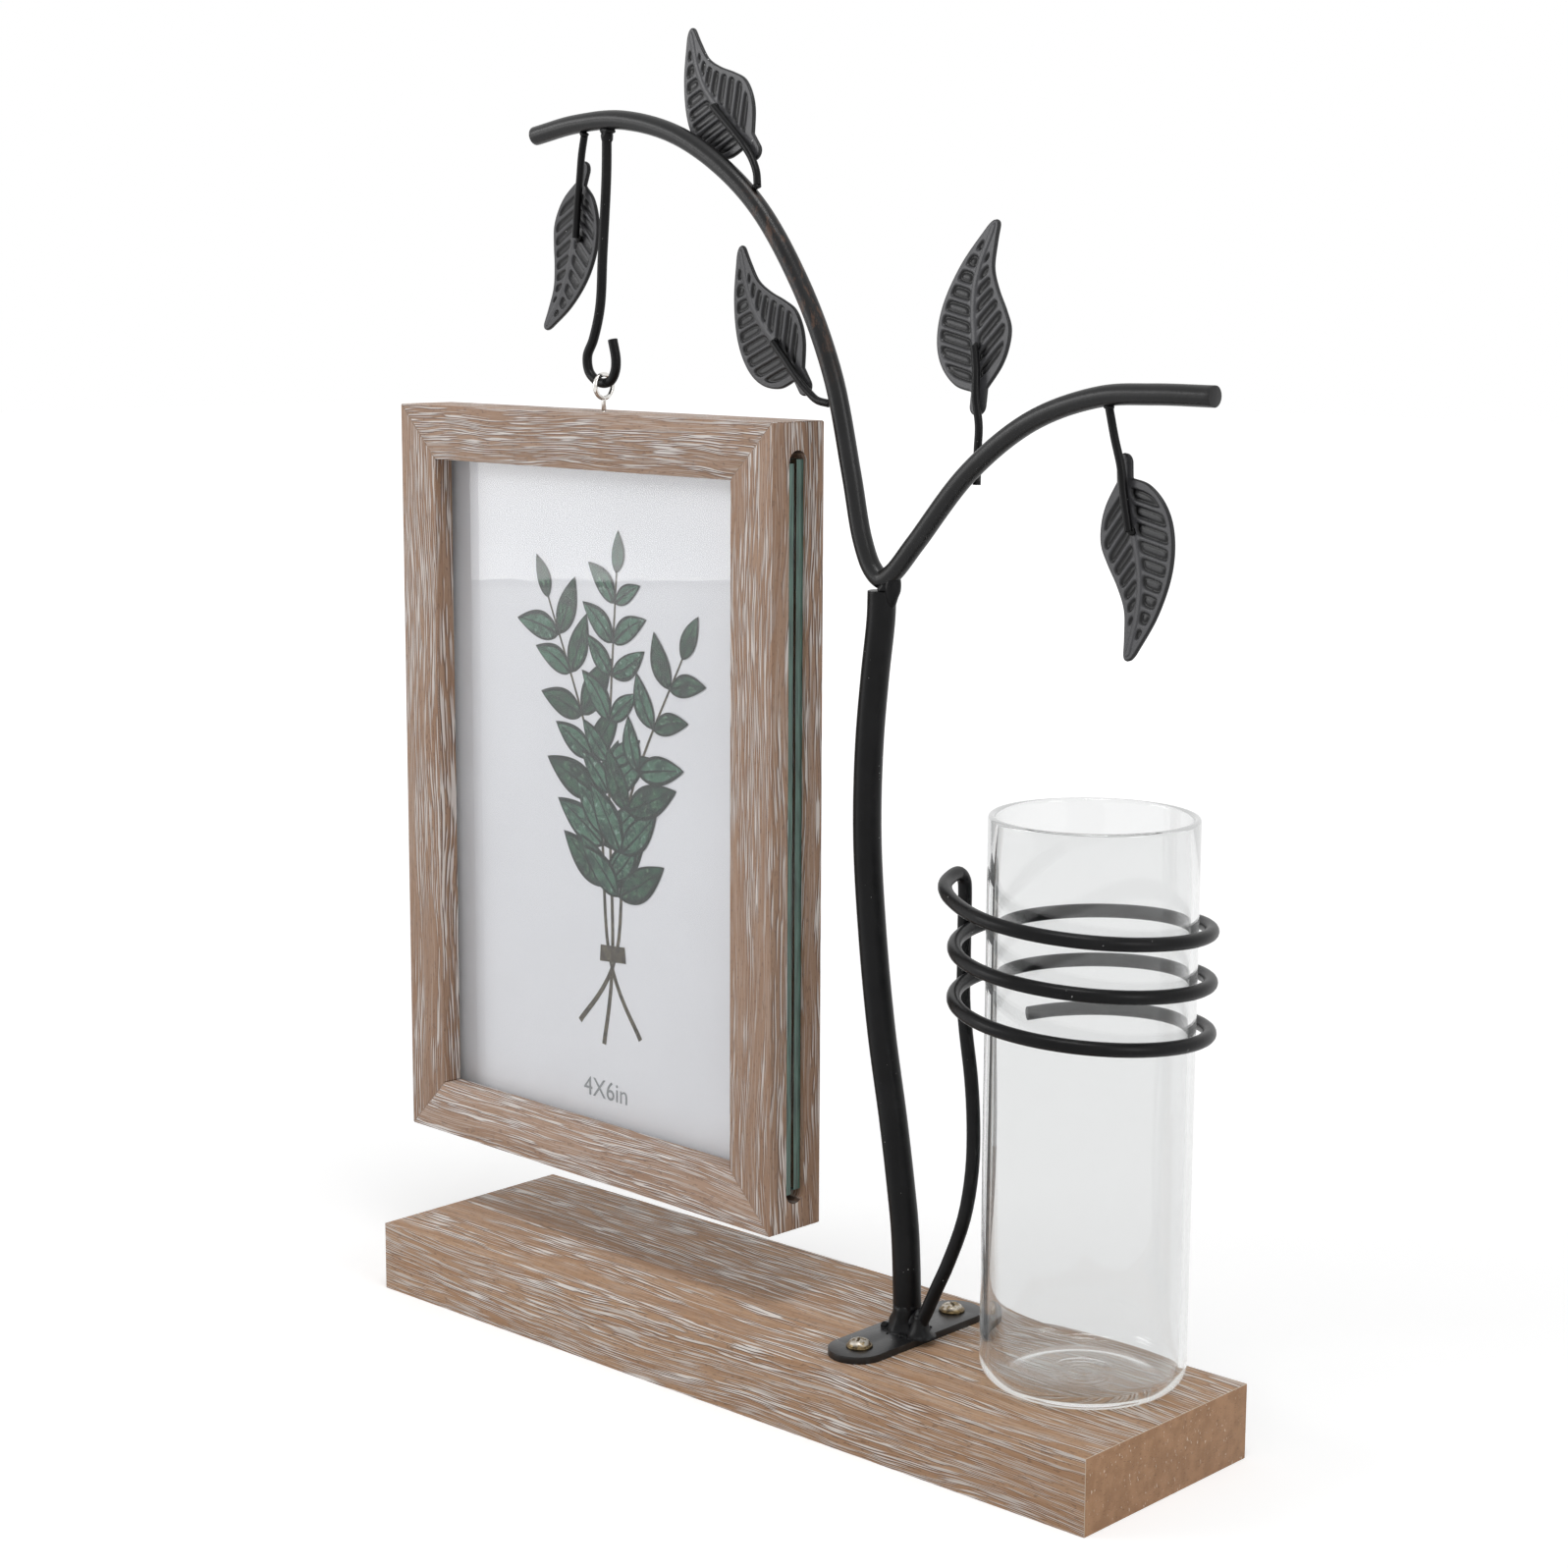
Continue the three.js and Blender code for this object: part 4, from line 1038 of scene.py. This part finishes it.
def onCard(x, z, layer):
    # a place on the card's face, from the frame's own right and up
    flat = Vector((x, sprigs["depth"] - sprigs["layerStep"] * layer, z))
    return (frameCentre + Matrix.Rotation(frameTurn, 3, "Z") @ flat) * mm


def flatShape(outline, layer):
    clear()
    bpy.ops.mesh.primitive_circle_add(vertices=len(outline), radius=mm, fill_type="NGON")
    piece = begin("stroke")
    for vertex, (x, z) in zip(piece.data.vertices, outline):
        vertex.co = onCard(x, z, layer)
    return piece


def leafShape(x, z, angle, length, width, layer, bow):
    outline = []
    count = 12
    for side in (1, -1):
        for i in range(count):
            t = i / count if side == 1 else 1 - i / count
            across = width / 2 * math.sin(math.pi * t ** 0.8) ** 0.9 * side
            along = length * t
            across += bow * math.sin(math.pi * t)
            outline.append((x + along * math.cos(angle) - across * math.sin(angle),
                            z + along * math.sin(angle) + across * math.cos(angle)))
    return flatShape(outline, layer)


def stripShape(points, width, layer):
    # a brush stroke: it thins towards its end
    line = evenSpline(points, 8)
    sides = ([], [])
    for i, point in enumerate(line):
        along = line[min(i + 1, len(line) - 1)] - line[max(i - 1, 0)]
        along = along / max(np.linalg.norm(along), 1e-9)
        w = width / 2 * (1 - 0.65 * i / len(line))
        sides[0].append((point[0] - along[1] * w, point[1] + along[0] * w))
        sides[1].append((point[0] + along[1] * w, point[1] - along[0] * w))
    return flatShape(sides[0] + sides[1][::-1], layer)


random.seed(sprigs["seed"])
washes = {"dark": [], "pale": [], "stem": [], "edge": []}


def paintedLeaf(wash, x, z, angle, length, bow):
    # a dark wet edge, the wash inside it, and one dry stroke for the vein; each leaf over the last
    width = length * sprigs["leafWidth"]
    layer = 1 + 0.1 * sum(len(washes[key]) for key in ("dark", "pale"))
    washes["edge"].append(leafShape(x, z, angle, length, width, layer, bow))
    inset = sprigs["inset"] * length
    innerX, innerZ = x + inset * math.cos(angle), z + inset * math.sin(angle)
    washes[wash].append(leafShape(innerX, innerZ, angle + 0.02, length * sprigs["innerLength"],
                                  width * sprigs["innerWidth"], layer + 0.05, bow * 0.8))
    vein = [(innerX + length * t * math.cos(angle) - bow * math.sin(math.pi * t) * math.sin(angle),
             innerZ + length * t * math.sin(angle) + bow * math.sin(math.pi * t) * math.cos(angle))
            for t in (0, 0.28, 0.56, 0.8)]
    washes["edge"].append(stripShape(vein, sprigs["vein"], layer + 0.1))


tieX, tieZ = sprigs["tie"]
for number, stem in enumerate(sprigs["stems"]):
    endX, endZ = stem["end"]
    middle = ((tieX + endX) / 2 + stem["lean"] * 0.6, (tieZ + endZ) / 2)
    points = [stem["foot"], (tieX + (number - 1) * 1.2, tieZ), middle, (endX, endZ)]
    washes["stem"].append(stripShape(points, sprigs["stemWidth"], number * 0.3))
    line = evenSpline(points[1:], 20)
    last = stem["leaves"] - 1
    for i in range(stem["leaves"]):
        share = sprigs["leafFrom"] + sprigs["leafSpan"] * i / last
        here = min(int(share * (len(line) - 1)), len(line) - 2)
        ahead = line[here + 1] - line[here]
        heading = math.atan2(ahead[1], ahead[0])
        for side in (1, -1):
            if i == last and side == -1:
                continue                   # one leaf ends the stem, in line with it
            length = stem["size"] * (1.1 - 0.45 * share) * random.uniform(0.85, 1.15)
            opened = math.radians(random.uniform(*sprigs["spread"]))
            angle = heading + (0 if i == last else side * opened)
            wash = "pale" if random.random() < sprigs["paleShare"] else stem["wash"]
            paintedLeaf(wash, *line[here], angle, length, random.uniform(-0.9, 0.9))
band = [(tieX - 4.2, tieZ - 2.2), (tieX + 4.4, tieZ - 1.6), (tieX + 4, tieZ + 2), (tieX - 3.9, tieZ + 1.5)]
washes["stem"].append(flatShape(band, 2))
for key, material in (("dark", leafWash), ("pale", paleWash), ("stem", stemWash), ("edge", edgeWash)):
    painted = joined(f"sprig{key.capitalize()}", washes[key])
    hand(painted, material, "glass_pack")

sizeNote = {"text": "4X6in", "size": 6.1, "x": 1.5, "z": -67.5}
clear()
bpy.ops.object.text_add()
note = begin("sizeNote")
note.data.body = sizeNote["text"]
note.data.size = sizeNote["size"] * mm
note.data.align_x = "CENTER"
alone(note)
bpy.ops.object.convert(target="MESH")
note = bpy.context.object
note.matrix_world = (Matrix.Translation(onCard(sizeNote["x"], sizeNote["z"], 1))
                     @ Matrix.Rotation(frameTurn, 4, "Z") @ Matrix.Rotation(math.pi / 2, 4, "X"))
hand(note, inkLook, "glass_pack")
print("print on the card done")


# camera, floor and light
camera = {"azimuth": 42.896, "elevation": 9.644, "roll": 0.233, "place": (0.409303, -0.44085, 0.227982),
          "lens": 68.064, "sensor": 36, "near": 0.01, "far": 50}
clear()
bpy.ops.object.camera_add()
view = begin("photoCamera")
view.data.lens = camera["lens"]
view.data.sensor_width = camera["sensor"]
view.data.clip_start, view.data.clip_end = camera["near"], camera["far"]
view.matrix_world = (Matrix.Translation(camera["place"])
                     @ Matrix.Rotation(math.radians(camera["azimuth"]), 4, "Z")
                     @ Matrix.Rotation(math.radians(90 - camera["elevation"]), 4, "X")
                     @ Matrix.Rotation(math.radians(camera["roll"]), 4, "Z"))
bpy.context.scene.camera = view

studio = {
    "floorSize": 8, "floorGlow": 0.435, "farGlow": 0.8, "floorTone": 0.7, "fleckTone": 0.62,
    "worldLight": 0.45,
    "lamps": [
        {"name": "sillLamp", "place": (-1.2, -1.1, 0.175), "aim": (-0.05, 0, 0.175), "size": (0.56, 0.34),
         "power": 2.2},
        {"name": "windowLamp", "place": (-1.36, -1.25, 0.85), "aim": (-0.05, 0, 0.5), "size": (1.0, 0.5),
         "power": 9.5},
        {"name": "topLamp", "place": (0.3, -0.3, 1.5), "aim": (0, 0, 0.1), "size": (0.45, 0.45),
         "power": 7},
        {"name": "rightLamp", "place": (1.5, -0.1, 0.7), "aim": (0, 0, 0.12), "size": (0.5, 0.8),
         "power": 5.5},
    ],
}


def rayMask(look):
    # 1 for camera, glossy and transmission rays
    rays = look.node("LightPath", {}, {}, out=0)
    outputs = rays.socket.node.outputs
    seen = rays + Signal(look, outputs[3]) + Signal(look, outputs["Is Transmission Ray"])
    return seen.between(0.0, 0.5)


clear()
bpy.ops.mesh.primitive_plane_add(size=studio["floorSize"])
floor = begin("floorPlane")
floorLook = Look("paleFloor")
spot = floorLook.coordinates()
fleck = floorLook.clouds(spot, scale=0.02, detail=2)
across, deep, _ = floorLook.parts(spot)
away = (across * across + deep * deep).root()          # the lamps fade outwards, the glow makes up
tone, darker = studio["floorTone"], studio["fleckTone"]
shade = floorLook.blend(fleck * 0.05, (tone, tone, tone, 1), (darker, darker, darker, 1))
matt = floorLook.node("BsdfDiffuse", {}, {0: shade})
lift = studio["floorGlow"] + away.between(150, 1300) * (studio["farGlow"] - studio["floorGlow"])
glow = floorLook.node("Emission", {}, {0: (1, 1, 1, 1), 1: lift})
both = floorLook.node("AddShader", {}, {0: matt, 1: glow})
seen = floorLook.node("MixShader", {}, {0: rayMask(floorLook), 1: matt, 2: both})
floor.data.materials.append(floorLook.close(seen))

world = bpy.data.worlds.new("studioWorld")
bpy.context.scene.world = world
sky = Look("studioSky", world)
level = studio["worldLight"]
white = sky.node("Background", {}, {0: (1, 1, 1, 1), 1: 1.0})
soft = sky.node("Background", {}, {0: (level, level, level, 1), 1: 1.0})
sky.node("OutputWorld", {}, {0: sky.node("MixShader", {}, {0: rayMask(sky), 1: soft, 2: white})})

for lamp in studio["lamps"]:
    clear()
    aim = (Vector(lamp["aim"]) - Vector(lamp["place"])).to_track_quat("-Z", "Y").to_euler()
    bpy.ops.object.light_add(type="AREA", location=lamp["place"], rotation=aim)
    made = begin(lamp["name"])
    made.data.shape = "RECTANGLE"
    made.data.size, made.data.size_y = lamp["size"]
    made.data.energy = lamp["power"]
bpy.context.scene.view_settings.view_transform = "Standard"
print("camera, floor and light done")
